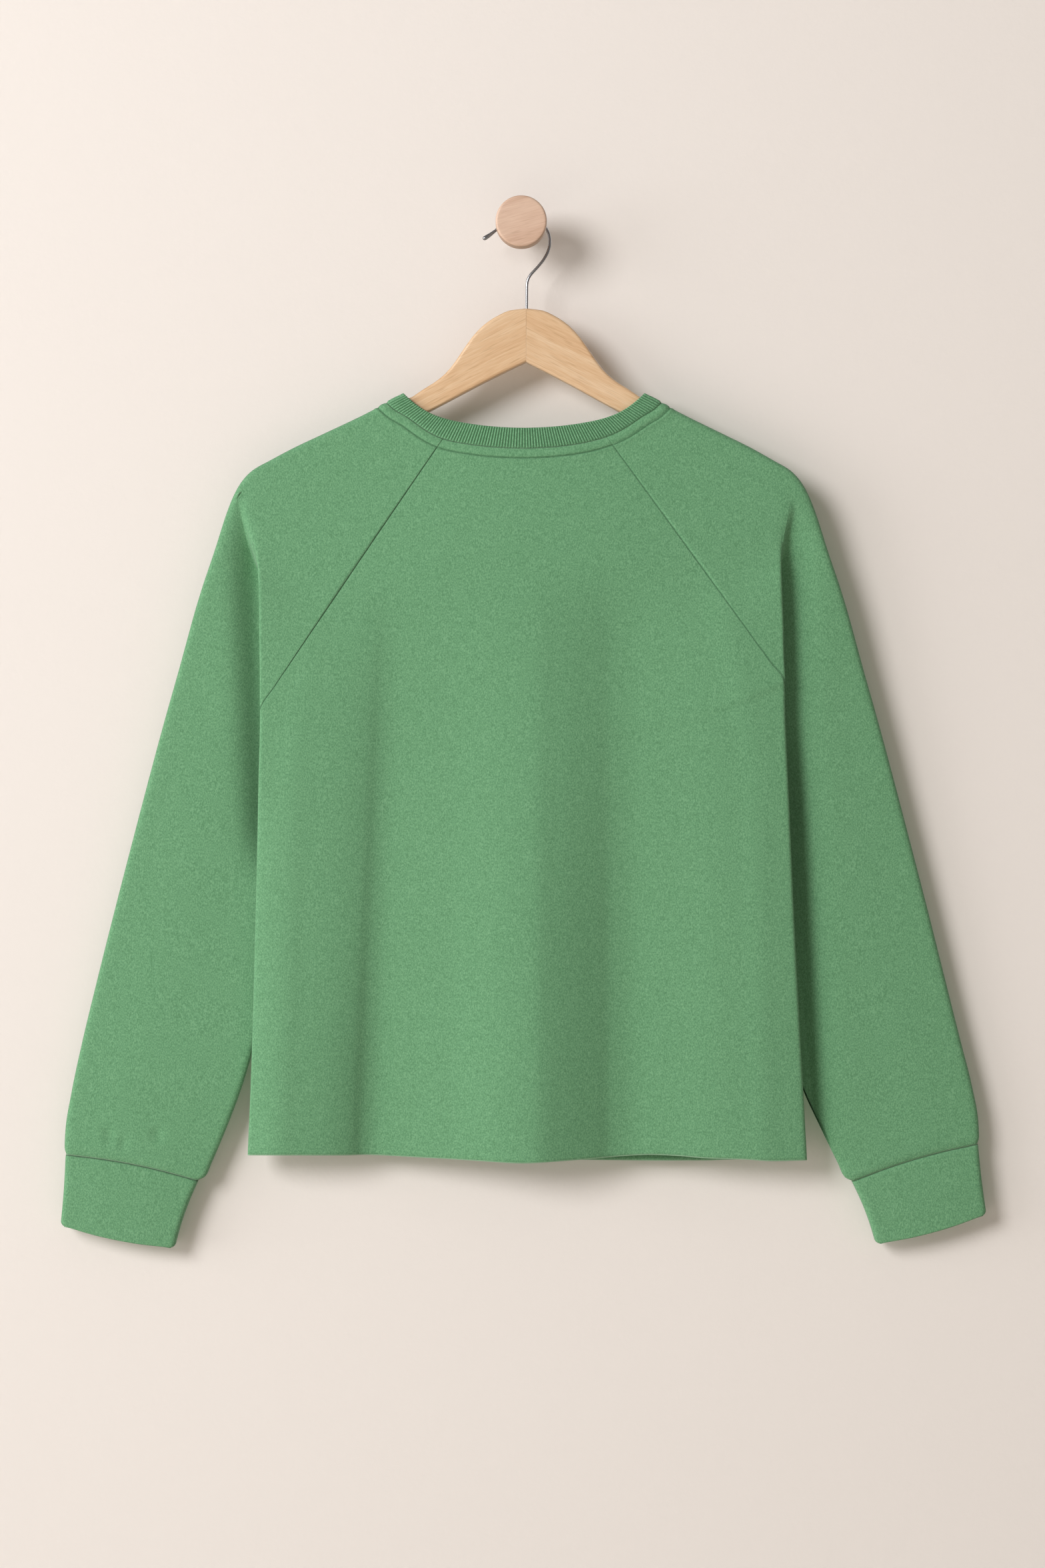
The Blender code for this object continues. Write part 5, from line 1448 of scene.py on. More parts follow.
def new_tree(name: str, inputs: dict[str, tuple]) -> tuple[NodeTree, Node, Node]:
    """Starts a Geometry Nodes tree.

    Args:
        name: the tree's name.
        inputs: each input's kind of socket and its usual value, by name.

    Returns:
        The tree, its input node and its output node.
    """
    tree = bpy.data.node_groups.new(name, "GeometryNodeTree")
    tree.interface.new_socket("Geometry", in_out="INPUT", socket_type="NodeSocketGeometry")
    for word, (kind, usual) in inputs.items():
        socket = tree.interface.new_socket(word, in_out="INPUT", socket_type=kind)
        if usual is not None:
            socket.default_value = usual
    tree.interface.new_socket("Geometry", in_out="OUTPUT", socket_type="NodeSocketGeometry")
    return tree, tree.nodes.new("NodeGroupInput"), tree.nodes.new("NodeGroupOutput")


def run_nodes(item: Object, tree: NodeTree, values: dict[str, object]) -> Object:
    """Runs a tree on an object and keeps the result as its plain mesh.

    Args:
        item: the object.
        tree: the tree.
        values: the tree's inputs, by name.

    Returns:
        The same object, without the modifier.
    """
    modifier = item.modifiers.new(tree.name, "NODES")
    modifier.node_group = tree
    for socket in tree.interface.items_tree:
        if socket.item_type == "SOCKET" and socket.in_out == "INPUT" and socket.name in values:
            modifier[socket.identifier] = values[socket.name]
    item.update_tag()
    ready = item.evaluated_get(bpy.context.evaluated_depsgraph_get())
    mesh = bpy.data.meshes.new_from_object(ready)
    item.modifiers.remove(modifier)
    item.data = mesh
    mesh.name = item.name
    return item


def add(tree: NodeTree, kind: str, settings: dict, inputs: dict) -> Node:
    """Adds a node to a tree.

    Args:
        tree: the tree.
        kind: the node's type.
        settings: its properties.
        inputs: a value, a node's output, or a node for its first output, for each input's name or number.

    Returns:
        The node.
    """
    node = tree.nodes.new(kind)
    for word, value in settings.items():
        setattr(node, word, value)
    for word, value in inputs.items():
        if isinstance(value, Node):
            value = value.outputs[0]
        if isinstance(value, NodeSocket):
            tree.links.new(value, node.inputs[word])
        else:
            node.inputs[word].default_value = value
    return node


def linear(hex_colour: str) -> tuple[float, float, float, float]:
    """Turns an sRGB hex colour to linear values."""
    values = [int(hex_colour[i:i + 2], 16) / 255 for i in (1, 3, 5)]
    return tuple(v / 12.92 if v <= 0.04045 else ((v + 0.055) / 1.055) ** 2.4 for v in values) + (1.0,)


def new_material(
    finish: Finish, constants: dict[str, object],
) -> tuple[Material, NodeTree, Node, NodeSocket]:
    """Starts a material.

    Args:
        finish: the finish, whose value names it.
        constants: values on its Principled shader, by socket.

    Returns:
        The material, its tree, its Principled shader and its object coordinates.
    """
    material = bpy.data.materials.new(finish.value)
    material.use_nodes = True
    tree = material.node_tree
    shader = tree.nodes["Principled BSDF"]
    for word, value in constants.items():
        shader.inputs[word].default_value = value
    return material, tree, shader, add(tree, "ShaderNodeTexCoord", {}, {}).outputs["Object"]


def ramp(tree: NodeTree, value: NodeSocket, stops: list[tuple[float, str]]) -> NodeSocket:
    """A colour ramp through hex colours.

    Args:
        tree: the material's tree.
        value: what the ramp reads.
        stops: each colour's place and hex value.

    Returns:
        The colour.
    """
    node = add(tree, "ShaderNodeValToRGB", {}, {"Fac": value})
    marks = node.color_ramp.elements
    while len(marks) < len(stops):
        marks.new(0.5)
    for mark, (place, colour) in zip(marks, stops):
        mark.position = place
        mark.color = linear(colour)
    return node.outputs["Color"]


@dataclass(frozen=True)
class KnitFinish:
    """Sweatshirt knit of cotton and polyester: the dyed and undyed fibres give short upright flecks, and its
    brushed hairs a soft, matt light along edges that turn away.

    Attributes:
        finish: which finish it is.
        dark: the colour of the darkest flecks.
        middle: the usual colour.
        light: the colour of the palest flecks.
        fleck: the width and height of a fleck in millimetres.
        mottle: the size of the slow change in colour in millimetres.
        relief: how deep the knit's surface is in millimetres.
        ribbed: whether it paints shade between its raised ribs.
    """

    finish: Finish
    dark: str
    middle: str
    light: str
    fleck: Pair = (0.9, 1.6)
    mottle: float = 5.0
    relief: float = 0.22
    ribbed: bool = False

    def make(self) -> Material:
        """Builds the material."""
        material, tree, shader, place = new_material(self.finish, {
            "Roughness": 0.95, "Specular IOR Level": 0.2, "Sheen Weight": 0.18, "Sheen Roughness": 0.5,
        })
        wide, tall = (1000.0 / size for size in self.fleck)
        flecks = add(tree, "ShaderNodeMapping", {}, {"Vector": place, "Scale": (wide, wide, tall)})
        fibre = add(tree, "ShaderNodeTexNoise", {}, {
            "Vector": flecks, "Scale": 1.0, "Detail": 2.0, "Roughness": 0.6,
        })
        slow = add(tree, "ShaderNodeTexNoise", {}, {
            "Vector": place, "Scale": 1000.0 / self.mottle, "Detail": 2.0, "Roughness": 0.5,
        })
        blend = add(tree, "ShaderNodeMix", {"data_type": "FLOAT"}, {0: 0.1, 2: fibre, 3: slow})
        colour = ramp(tree, blend.outputs[0], [(0.34, self.dark), (0.5, self.middle), (0.66, self.light)])
        height = blend.outputs[0]
        if self.ribbed:
            # Painted shade: the hollows between the ribs are blended to a dark green by the rib wave that the
            # band's nodes keep.
            rib = add(tree, "ShaderNodeAttribute", {"attribute_name": "rib"}, {})
            painted_rib_shade = add(tree, "ShaderNodeMapRange", {}, {
                "Value": rib.outputs["Fac"], "From Min": -0.9, "From Max": 0.2, "To Min": 0.8, "To Max": 0.0,
            })
            colour = self.shade(tree, colour, painted_rib_shade.outputs[0], "#3F6D4A")
        else:
            colour, height = self.sew(tree, colour, height)
        bump = add(
            tree, "ShaderNodeBump", {}, {"Height": height, "Strength": 0.6, "Distance": self.relief * MM},
        )
        tree.links.new(colour, shader.inputs["Base Color"])
        tree.links.new(bump.outputs[0], shader.inputs["Normal"])
        return material

    def sew(self, tree: NodeTree, colour: NodeSocket, height: NodeSocket) -> tuple:
        """Draws the seams: a dark line at each raglan seam and at the neck seam, painted shade along the
        topstitch's furrow, and the pale cut edge. The pale roll beside a raglan seam is raised in the shell.

        Args:
            tree: the material's tree.
            colour: the cloth's colour.
            height: its surface's height.

        Returns:
            The colour and the height with the seams in them.
        """
        far = {word: add(tree, "ShaderNodeAttribute", {"attribute_name": word}, {}).outputs["Fac"]
               for word in ("from_seam", "from_neck", "from_end")}
        line = self.near(tree, far["from_seam"], 0.25, 0.9)
        below = add(tree, "ShaderNodeMapRange", {}, {
            "Value": far["from_neck"], "From Min": 7.6, "From Max": 8.6, "To Min": 0.3, "To Max": 0.85,
        })
        line = add(tree, "ShaderNodeMath", {"operation": "MULTIPLY"}, {0: line, 1: below}).outputs[0]
        from_stitch = add(
            tree, "ShaderNodeMath", {"operation": "SUBTRACT"}, {0: far["from_neck"], 1: TOPSTITCH_DROP},
        )
        beside = add(tree, "ShaderNodeMath", {"operation": "ABSOLUTE"}, {0: from_stitch})
        # Painted shade: the cloth darkens along the topstitch's furrow, where its shade falls.
        furrow = self.near(tree, beside.outputs[0], 0.25, 0.9)
        neck = self.near(tree, far["from_neck"], 0.1, 0.7)
        # The seam lines and the painted shade of the furrow are blended to a dark green together.
        dark = add(tree, "ShaderNodeMath", {"operation": "MAXIMUM"}, {0: line, 1: furrow})
        dark = add(tree, "ShaderNodeMath", {"operation": "MAXIMUM"}, {0: dark, 1: neck})
        some = add(tree, "ShaderNodeMath", {"operation": "MULTIPLY"}, {0: dark, 1: 0.55})
        colour = self.shade(tree, colour, some.outputs[0], "#3F6E4B")
        cut = self.near(tree, far["from_end"], 0.5, 1.1)
        pale = add(tree, "ShaderNodeMath", {"operation": "MULTIPLY"}, {0: cut, 1: 0.6})
        colour = self.shade(tree, colour, pale.outputs[0], "#A9CDAE")
        deep = add(tree, "ShaderNodeMath", {"operation": "MULTIPLY"}, {0: dark, 1: -2.2})
        total = add(tree, "ShaderNodeMath", {"operation": "ADD"}, {0: height, 1: deep})
        return colour, total.outputs[0]

    def near(self, tree: NodeTree, far: NodeSocket, full: float, none: float) -> NodeSocket:
        """One where a distance is under a first value, falling to nought at a second."""
        node = add(tree, "ShaderNodeMapRange", {"interpolation_type": "SMOOTHSTEP"}, {
            "Value": far, "From Min": full, "From Max": none, "To Min": 1.0, "To Max": 0.0,
        })
        return node.outputs[0]

    def shade(
        self, tree: NodeTree, colour: NodeSocket, share: NodeSocket, to: str,
    ) -> NodeSocket:
        """Blends a colour to another by a share."""
        node = add(tree, "ShaderNodeMix", {"data_type": "RGBA"}, {0: share, 6: colour, 7: linear(to)})
        return node.outputs[2]


@dataclass(frozen=True)
class ThreadFinish:
    """Spun polyester sewing thread, a little darker than the cloth, with a faint sheen."""

    finish: Finish = Finish.THREAD
    dark: str = "#43724E"
    light: str = "#5F9069"

    def make(self) -> Material:
        """Builds the material."""
        material, tree, shader, place = new_material(self.finish, {"Roughness": 0.8, "Sheen Weight": 0.1})
        noise = add(tree, "ShaderNodeTexNoise", {}, {"Vector": place, "Scale": 900.0, "Detail": 1.0})
        colour = ramp(tree, noise.outputs[0], [(0.3, self.dark), (0.7, self.light)])
        tree.links.new(colour, shader.inputs["Base Color"])
        return material


@dataclass(frozen=True)
class WoodFinish:
    """Pale close-grained wood under a thin clear coat: long soft streaks, fine darker pores along them, a
    satin shine.

    Attributes:
        finish: which finish it is.
        dark: the colour of the late wood.
        middle: the usual colour.
        light: the colour of the early wood.
        pore: the colour of the pores.
        turn: how far its grain falls to the right, in degrees.
        mitre: where two halves meet whose grain falls to either side, in metres, or None.
        gloss: the surface's roughness.
    """

    finish: Finish
    dark: str
    middle: str
    light: str
    pore: str
    turn: float = 0.0
    mitre: Optional[float] = None
    gloss: float = 0.38

    def make(self) -> Material:
        """Builds the material: streaks 9 mm wide, pores 1 mm apart, coarser than real so that they show."""
        material, tree, shader, place = new_material(self.finish, {
            "Roughness": self.gloss, "Coat Weight": 0.2, "Coat Roughness": 0.25,
        })
        if self.mitre is not None:
            split = add(tree, "ShaderNodeSeparateXYZ", {}, {"Vector": place})
            from_mitre = add(
                tree, "ShaderNodeMath", {"operation": "SUBTRACT"}, {0: split.outputs[0], 1: self.mitre},
            )
            out = add(tree, "ShaderNodeMath", {"operation": "ABSOLUTE"}, {0: from_mitre})
            half = add(tree, "ShaderNodeMath", {"operation": "GREATER_THAN"}, {0: from_mitre, 1: 0.0})
            board = add(tree, "ShaderNodeMath", {"operation": "MULTIPLY_ADD"},
                        {0: half, 1: 0.37, 2: split.outputs[1]})
            place = add(tree, "ShaderNodeCombineXYZ", {}, {
                "X": out, "Y": board, "Z": split.outputs[2],
            }).outputs[0]
        lean = add(tree, "ShaderNodeMapping", {}, {
            "Vector": place, "Rotation": (0.0, math.radians(-self.turn), 0.0),
        })
        grain = add(tree, "ShaderNodeMapping", {}, {"Vector": lean, "Scale": (0.06, 1.0, 1.0)}).outputs[0]
        broad = add(tree, "ShaderNodeTexNoise", {}, {
            "Vector": grain, "Scale": 110.0, "Detail": 3.0, "Roughness": 0.5, "Distortion": 0.4,
        })
        fine = add(
            tree, "ShaderNodeTexNoise", {}, {"Vector": grain, "Scale": 850.0, "Detail": 2.0, "Roughness": 0.6},
        )
        blend = add(tree, "ShaderNodeMix", {"data_type": "FLOAT"}, {0: 0.45, 2: broad, 3: fine})
        colour = ramp(tree, blend.outputs[0], [(0.3, self.dark), (0.5, self.middle), (0.7, self.light)])
        pores = add(tree, "ShaderNodeTexNoise", {}, {"Vector": grain, "Scale": 950.0, "Detail": 1.0})
        deep = add(tree, "ShaderNodeMapRange", {}, {
            "Value": pores, "From Min": 0.56, "From Max": 0.74, "To Min": 0.0, "To Max": 0.32,
        })
        dark = add(tree, "ShaderNodeMix", {"data_type": "RGBA"}, {0: deep, 6: colour, 7: linear(self.pore)})
        bump = add(tree, "ShaderNodeBump", {"invert": True},
                   {"Height": deep, "Strength": 0.2, "Distance": 0.1 * MM})
        tree.links.new(dark.outputs[2], shader.inputs["Base Color"])
        tree.links.new(bump.outputs[0], shader.inputs["Normal"])
        return material


@dataclass(frozen=True)
class WireFinish:
    """Bright chromed steel wire: mirror-like, with faint drawing lines that soften what it reflects."""

    finish: Finish = Finish.WIRE

    def make(self) -> Material:
        """Builds the material."""
        material, tree, shader, place = new_material(self.finish, {
            "Base Color": linear("#A2A2A6"), "Metallic": 1.0,
        })
        noise = add(tree, "ShaderNodeTexNoise", {}, {"Vector": place, "Scale": 400.0, "Detail": 2.0})
        rough = add(tree, "ShaderNodeMapRange", {}, {"Value": noise, "To Min": 0.2, "To Max": 0.22})
        tree.links.new(rough.outputs[0], shader.inputs["Roughness"])
        return material


@dataclass(frozen=True)
class StageFinish:
    """Matt wall paint or a plain pale floor. The wall shows only from its painted side, so that views from
    behind show the garment and not the wall's back.
    """

    finish: Finish
    colour: str
    one_sided: bool = False

    def make(self) -> Material:
        """Builds the material."""
        material, tree, shader, place = new_material(self.finish, {
            "Base Color": linear(self.colour), "Roughness": 0.9, "Specular IOR Level": 0.1,
        })
        noise = add(tree, "ShaderNodeTexNoise", {}, {"Vector": place, "Scale": 260.0, "Detail": 3.0})
        bump = add(tree, "ShaderNodeBump", {}, {"Height": noise, "Strength": 0.25, "Distance": 0.4 * MM})
        tree.links.new(bump.outputs[0], shader.inputs["Normal"])
        if self.one_sided:
            seen = add(tree, "ShaderNodeLightPath", {}, {}).outputs["Is Camera Ray"]
            behind = add(tree, "ShaderNodeNewGeometry", {}, {}).outputs["Backfacing"]
            front = add(
                tree, "ShaderNodeMath", {"operation": "SUBTRACT", "use_clamp": True}, {0: seen, 1: behind},
            )
            clear = add(tree, "ShaderNodeBsdfTransparent", {}, {})
            both = add(tree, "ShaderNodeMixShader", {}, {
                0: front, 1: clear, 2: shader,
            })
            tree.links.new(both.outputs[0], tree.nodes["Material Output"].inputs["Surface"])
        return material


MATERIALS: dict[Finish, Material] = {}


def mix_materials() -> None:
    """Makes every finish once."""
    for finish in (
        KnitFinish(Finish.KNIT, "#5A8B64", "#699C73", "#7AAC83"),
        KnitFinish(Finish.RIB, "#5B8E66", "#6EA279", "#84B48D", fleck=(0.8, 1.4), relief=0.12, ribbed=True),
        ThreadFinish(),
        WoodFinish(Finish.HANGER_WOOD, "#D0A57B", "#DEB991", "#E9CBA8", "#AD8258", turn=27.0, mitre=0.0042),
        WoodFinish(Finish.PEG_WOOD, "#C6A188", "#D5B39C", "#E0C2AC", "#9A6F57", turn=-15.0, gloss=0.55),
        WireFinish(),
        StageFinish(Finish.WALL, "#EEE7E2", one_sided=True),
        StageFinish(Finish.FLOOR, "#E4DDD2"),
    ):
        MATERIALS[finish.finish] = finish.make()


@dataclass
class Hanger:
    """The flat wooden hanger: two halves cut from board, their rims rounded over and their mitre glued, and
    its hook.

    Attributes:
        middle: where the mitre is.
        depth: how far the board's middle is from the wall.
        thick: the board's thickness.
        rim: how far its rims are rounded.
        top: the upper edge, from the mitre to where cloth covers it.
        under: the lower edge, from the mitre outwards.
        covered: the share of the raglan seam down to which cloth lies on the wood.
        below_cloth: how far the wood lies under the cloth, at the neckband and beyond it.
        end: the rounded end's place and radius.
        gap: how far each half stands off the mitre.
        wire_radius: the hook wire's radius.
        wire_sides: how many sides the wire has.
        hook_radius: the radius of its bend over the peg.
        hook_middle: that bend's middle, as x and z.
        arc: where the bend starts and ends, in degrees.
        stem: the wire's middle up to the bend, as x and z.
        tip: the wire's middle past the bend.
    """

    middle: float = 4.2
    depth: float = 30.0
    thick: float = 12.0
    rim: float = 2.2
    gap: float = 0.05
    top: tuple = ((0, 13, 26.8, 37, 45.8, 54, 62, 69, 78, 88, 98.4),
                  (71.9, 73.3, 79.4, 86.5, 95.6, 107, 118.8, 127.4, 134.9, 141.2, 148.3))
    under: tuple = ((0, 30, 82, 150, 222.5), (118.2, 133.0, 160.9, 195.6, 227.0))
    covered: float = 0.36
    below_cloth: Pair = (1.9, 0.95)
    end: tuple[float, float, float] = (226.0, 219.5, 8.0)
    wire_radius: float = 1.2
    wire_sides: int = 24
    hook_radius: float = 23.3
    hook_middle: Pair = (0.5, -12.3)
    arc: Pair = (25.0, 157.0)
    stem: tuple[Pair, ...] = (
        (4.5, -92.9), (4.6, -80.0), (4.7, -70.0), (4.8, -60.0), (4.9, -51.0), (5.5, -46.8), (7.6, -42.8),
        (10.8, -39.2), (14.2, -35.6), (18.9, -29.9), (22.5, -23.8), (24.6, -17.4), (24.7, -11.0), (23.5, -5.6),
    )
    tip: tuple[Pair, ...] = ((-23.4, -4.9), (-27.4, -8.0), (-31.6, -10.6))

    def build(self) -> None:
        """Cuts the halves and bends the hook."""
        for side in SIDES:
            half = self.half(side)
            LOG.info("%s: %d points", half.name, len(half.data.vertices))
        hook = self.hook()
        LOG.info("%s: %d points", hook.name, len(hook.data.vertices))

    def outline(self, side: Side) -> Array:
        """One half's outline as x and z, from the mitre's top along the upper edge and back below."""
        outline = [(side.way * out + self.middle, float(read(*self.top, out)))
                   for out in np.linspace(self.gap, self.top[0][-1], 22)]
        shoulder = []
        for share in [share for share in YOKE_ROWS if share < self.covered]:
            loop = Pattern.yoke(share)
            names = [loop.named[f"{side.name} outer_{layer}"] for layer in ("back", "front")]
            place = loop.at([sum(names) / 2])[0]
            shoulder.append((place[0], -place[2]))
        shoulder = np.array(shoulder)
        run = unit(np.gradient(shoulder, axis=0))
        inward = np.stack([-run[:, 1], run[:, 0]], axis=-1) * side.way
        far = np.where(np.arange(len(shoulder)) > 0, self.below_cloth[1], self.below_cloth[0])[:, None]
        outline += [tuple(place) for place in (shoulder + inward * far)[:-1]]
        out, drop, radius = self.end
        ends = ((abs(outline[-1][0]), outline[-1][1]), (self.under[0][-1], self.under[1][-1]))
        start, stop = (math.atan2(end[1] - drop, end[0] - out) for end in ends)
        for angle in start + (stop - start) * np.linspace(0.15, 0.85, 6):
            outline.append((side.way * (out + radius * math.cos(angle)), drop + radius * math.sin(angle)))
        for out in np.linspace(self.under[0][-1], self.gap, 12):
            nearer = self.middle * (1 - out / self.under[0][-1])
            outline.append((side.way * out + nearer, float(read(*self.under, out))))
        return np.array(outline) * (1, -1)

    def half(self, side: Side) -> Object:
        """Cuts one half from board and rounds its rims over, but not its mitre."""
        outline = self.outline(side)
        step = np.roll(outline, -1, axis=0) - outline
        square = unit(np.stack([-step[:, 1], step[:, 0]], axis=-1)) * side.way
        before = np.roll(square, 1, axis=0)
        outward = unit(square + before)
        outward /= np.maximum((outward * square).sum(axis=1, keepdims=True), 0.5)
        for end, edge in ((0, square[0]), (-1, square[-2])):
            outward[end] = (0.0, 1 / edge[1])
        front, back = self.depth + self.thick / 2, self.depth - self.thick / 2
        turns = np.radians((90, 67.5, 45, 22.5, 0))
        profile = [(self.rim + 1.0, front)]
        profile += [(self.rim * (1 - math.cos(a)), front - self.rim * (1 - math.sin(a))) for a in turns]
        profile += [(self.rim * (1 - math.cos(a)), back + self.rim * (1 - math.sin(a))) for a in turns[::-1]]
        profile.append((self.rim + 1.0, back))
        rings = []
        for inset, depth in profile:
            place = outline - outward * inset
            ring = np.stack([place[:, 0], np.full(len(place), -depth), place[:, 1]], axis=-1) * MM
            rings.append(ring[::side.way])
        item = ring_solid(f"hanger_{side.name}_wood", rings, True)
        item.data.set_sharp_from_angle(angle=math.radians(40))
        return fit_hard_piece(item, Finish.HANGER_WOOD, f"hanger_{side.name}")

    def hook(self) -> Object:
        """The hook's wire, bent from the stem over the peg to its flared tip."""
        route = list(self.stem)
        for angle in np.radians(np.linspace(*self.arc, 18)):
            route.append((self.hook_middle[0] + self.hook_radius * math.cos(angle),
                          self.hook_middle[1] + self.hook_radius * math.sin(angle)))
        key = np.array([(x, -self.depth, z) for x, z in route + list(self.tip)])
        line = fill_in(fill_in(key, 1.0), 1.0)
        for _ in range(4):
            line[1:-1] = (line[:-2] + 2 * line[1:-1] + line[2:]) / 4
        tangent = unit(np.gradient(line, axis=0))
        beside = np.array((0.0, 1.0, 0.0))
        turn = 2 * math.pi * np.arange(self.wire_sides) / self.wire_sides
        last = len(line) - 1
        flare = 1 + 0.55 * ease((np.arange(len(line)) - last + 12) / 12)
        marks = [(0, 0.4, -0.9), (0, 0.8, -0.5)] + [(i, 1.0, 0.0) for i in range(len(line))]
        marks += [(last, 0.85, 0.5), (last, 0.4, 0.9)]
        rings = []
        for i, share, beyond in marks:
            circle = np.cos(turn)[:, None] * beside + np.sin(turn)[:, None] * np.cross(tangent[i], beside)
            radius = self.wire_radius * flare[i]
            rings.append((line[i] + tangent[i] * beyond * radius + circle * radius * share)[::-1] * MM)
        return fit_hard_piece(ring_solid("hook_wire", rings, True), Finish.WIRE, "hook")


def fit_hard_piece(item: Object, finish: Finish, node: str) -> Object:
    """Gives a hard piece its finish and puts it in its plain solid's place.

    Args:
        item: the piece.
        finish: its finish.
        node: the plain solid that it stands for.

    Returns:
        The same object.
    """
    item.data.materials.append(MATERIALS[finish])
    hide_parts(node)
    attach(item, ROOT)
    return item


@dataclass
class Peg:
    """The turned wall peg: a stem that widens into a round knob with softly broken edges."""

    knob_radius: float = 22.0
    depth: float = 60.0
    knob_thick: float = 18.0
    edge: float = 1.7
    stem_radius: float = 9.5
    fillet: float = 1.8
    sides: int = 96

    def build(self) -> Object:
        """Turns the peg's profile round its axis."""
        neck = self.depth - self.knob_thick
        profile = [(0.05, 0.0), (self.stem_radius, 0.0), (self.stem_radius, neck - self.fillet)]
        for angle in np.radians((22.5, 45, 67.5, 90)):
            profile.append((self.stem_radius + self.fillet * (1 - math.cos(angle)),
                            neck - self.fillet * (1 - math.sin(angle))))
        profile += [(self.knob_radius - self.edge - 1.0, neck), (self.knob_radius - self.edge, neck)]
        for angle in np.radians((30, 60, 90)):
            profile.append((self.knob_radius - self.edge * (1 - math.sin(angle)),
                            neck + self.edge * (1 - math.cos(angle))))
        profile.append((self.knob_radius, self.depth - self.edge - 1.0))
        for angle in np.radians((0, 22.5, 45, 67.5, 90)):
            profile.append((self.knob_radius - self.edge * (1 - math.cos(angle)),
                            self.depth - self.edge * (1 - math.sin(angle))))
        profile += [(self.knob_radius - self.edge - 1.0, self.depth), (0.05, self.depth)]
        turn = 2 * math.pi * np.arange(self.sides) / self.sides
        rings = [
            MM * np.stack([radius * np.cos(turn), np.full(self.sides, -depth), radius * np.sin(turn)], axis=-1)
            for radius, depth in profile
        ]
        item = fit_hard_piece(ring_solid("turned_peg", rings, True), Finish.PEG_WOOD, "peg")
        LOG.info("%s: %d points", item.name, len(item.data.vertices))
        return item


@dataclass
class Stage:
    """The wall, the floor, the camera and the light: soft light from the upper left and the side, pale air,
    and a weak light from behind for the views from there.

    Attributes:
        camera_place: where the camera is.
        focal: its focal length in millimetres.
        aim: the garment's middle, at which the lights point.
        lights: each light's name, direction, distance, width and power.
        air: the strength of the pale air.
        floor_drop: how far the floor is below the peg.
        reach: half the wall's and the floor's width.
        wall_top: how far the wall reaches above the peg.
        wall_behind: how far the paint is behind the peg's flat back.
    """

    camera_place: tuple[float, float, float] = (0.0011, -3.2, -0.4828)
    focal: float = 84.12
    aim: Place = (0.0, 0.0, -0.48)
    lights: tuple[tuple[str, Place, float, float, float], ...] = (
        ("window_light", (-0.8, -1.0, 0.45), 5.5, 2.4, 196.0),
        ("side_light", (-1.0, -0.33, 0.1), 8.0, 5.5, 270.0),
        ("back_light", (0.6, 1.0, 0.5), 4.0, 3.0, 35.0),
    )
    air: float = 0.28
    floor_drop: float = 1.9
    reach: float = 6.0
    wall_top: float = 4.0
    wall_behind: float = 0.0008

    def build(self) -> None:
        """Builds the stage round the garment."""
        data = bpy.data.cameras.new("camera")
        data.lens = self.focal
        data.sensor_width = 36.0
        data.clip_end = 50.0
        camera = bpy.data.objects.new("camera", data)
        camera.location = self.camera_place
        camera.rotation_euler = (math.pi / 2, 0.0, 0.0)
        bpy.context.collection.objects.link(camera)
        bpy.context.scene.camera = camera
        wide, low, top, behind = self.reach, -self.floor_drop, self.wall_top, self.wall_behind
        wall = [(-wide, behind, low), (wide, behind, low), (wide, behind, top), (-wide, behind, top)]
        floor = [(-wide, -wide, low), (wide, -wide, low), (wide, wide, low), (-wide, wide, low)]
        for name, corners, finish in (("wall", wall, Finish.WALL), ("floor", floor, Finish.FLOOR)):
            item = make_object(name, np.array(corners, float), [[0, 1, 2, 3]])
            item.data.materials.append(MATERIALS[finish])
        for light in self.lights:
            self.light(*light)
        world = bpy.data.worlds.new("pale_air")
        world.use_nodes = True
        world.node_tree.nodes["Background"].inputs["Color"].default_value = linear("#FFF6EC")
        world.node_tree.nodes["Background"].inputs["Strength"].default_value = self.air
        bpy.context.scene.world = world
        bpy.context.scene.view_settings.view_transform = "Standard"

    def light(self, name: str, way: Place, far: float, size: float, power: float) -> None:
        """Adds a soft light that points at the garment's middle.

        Args:
            name: the light's name.
            way: the direction from the garment to the light.
            far: how far away it is in metres.
            size: how wide it is in metres.
            power: its power in watts.
        """
        data = bpy.data.lights.new(name, "AREA")
        data.shape = "DISK"
        data.size = size
        data.energy = power
        item = bpy.data.objects.new(name, data)
        item.location = Vector(self.aim) + Vector(way).normalized() * far
        item.rotation_euler = (-Vector(way)).to_track_quat("-Z", "Y").to_euler()
        bpy.context.collection.objects.link(item)


BACK_DRAPES = (
    Drape(
        across=(-232, -214, -202, -186, -172, -156, -140, -128, -118, -100, -84, -62, -36, -13, 12, 34),
        height=(
            4.5, 3.0, 1.5, -1.0, -3.0, -6.0, -11.0, -17.3, -19.0, -17.3, -15.2, -12.0, -7.8, -4.2, -1.4, 0.0,
        ),
        drop=(300, 353, 439, 525, 611, 668, 725, 790), share=(0.0, 0.2, 0.5, 0.65, 0.75, 0.9, 1.05, 1.1),
        lean=-0.045,
    ),
    Drape(
        across=(-60, -13, 10, 34, 50, 64, 78, 92, 120, 165, 211),
        height=(0.0, 2.5, 2.0, -3.5, -8.5, -13.5, -18.0, -19.0, -15.0, -6.0, 0.0),
        drop=(290, 353, 439, 525, 611, 725, 790), share=(0.0, 0.35, 0.5, 0.68, 0.85, 0.95, 1.0),
    ),
)
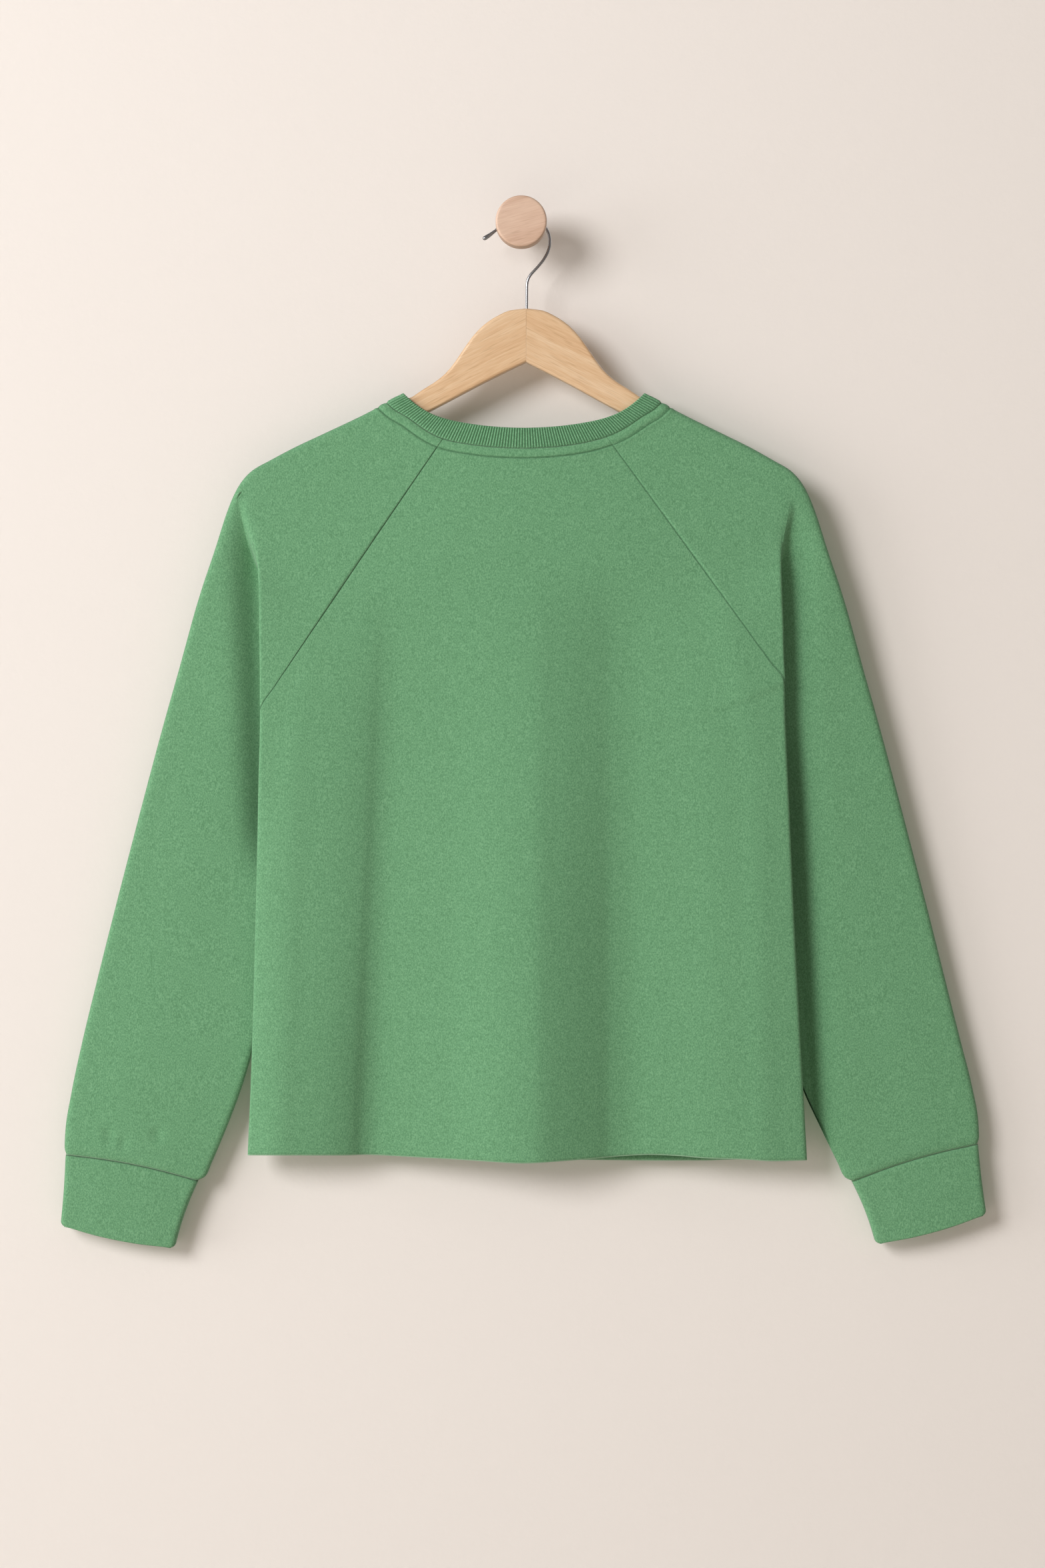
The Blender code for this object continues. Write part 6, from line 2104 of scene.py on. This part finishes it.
BACK_CREASES = (
    Crease((-229, -470), (-236, -900), width=10, height=-3.0, fade=0.15, both_ends=False),
    Crease((-199, -330), (-176, -262), width=9, height=-1.2, fade=0.4),
)
FRONT_DRAPES = (
    Drape(
        across=(-190, -130, -90, -50, 0, 30, 70, 120, 170),
        height=(0.0, 1.0, -4.0, 0.0, 2.0, 2.5, 0.0, -3.5, 0.0),
        drop=(330, 520, 660, 800), share=(0.0, 0.5, 1.0, 1.0),
    ),
)
SLEEVE_CREASES = {
    "left": (
        Crease((-233, -224), (-217, -580), width=16, height=-12.0, fade=0.2),
        Crease((-361, -779), (-353, -797), width=4, height=-1.6),
        Crease((-347, -786), (-343, -802), width=4, height=-1.4),
        Crease((-318, -778), (-313, -795), width=5, height=-1.6),
    ),
    "right": (
        Crease((231, -226), (231, -540), width=18, height=-9.5, fade=0.25),
        Crease((229, -440), (251, -850), width=20, height=-14.0, fade=0.24, both_ends=False),
    ),
}


def main() -> None:
    """Builds the stage, the garment and what holds it, in order."""
    logging.basicConfig(level=logging.INFO, format="%(name)s: %(message)s")
    mix_materials()
    Stage().build()
    Hanger().build()
    Peg().build()
    stitches = Topstitch()
    back = BodyPanel("back_cloth", "back", creases=BACK_CREASES, layer="back", drapes=BACK_DRAPES)
    front = BodyPanel("front_cloth", "front", layer="front", drapes=FRONT_DRAPES)
    panels = [(back, (480, 630), 0.276), (front, (480, 600), 0.201)]
    for side in SIDES:
        node = f"sleeve_{side.name}"
        sleeve = Sleeve(f"{node}_cloth", node, creases=SLEEVE_CREASES[side.name], side=side)
        panels.append((sleeve, (340, 740), 0.197))
    for panel, flat, area in panels:
        item = panel.build()
        row = stitches.build(panel, f"topstitch_{panel.node}")
        panel.dress(item, flat, area, [row])
    for side in SIDES:
        cuff = Cuff(f"cuff_{side.name}_cloth", f"cuff_{side.name}", thick=CUFF_CLOTH, side=side)
        cuff.dress(cuff.build(), (262, 60), 0.0131, [])
    band = NeckBand("neck_rib_cloth", "neck_rib", thick=RIB_CLOTH, finish=Finish.RIB, slot="rib")
    band.dress(band.build(), (620, 18), 0.0105, [])


if __name__ == "__main__":
    main()
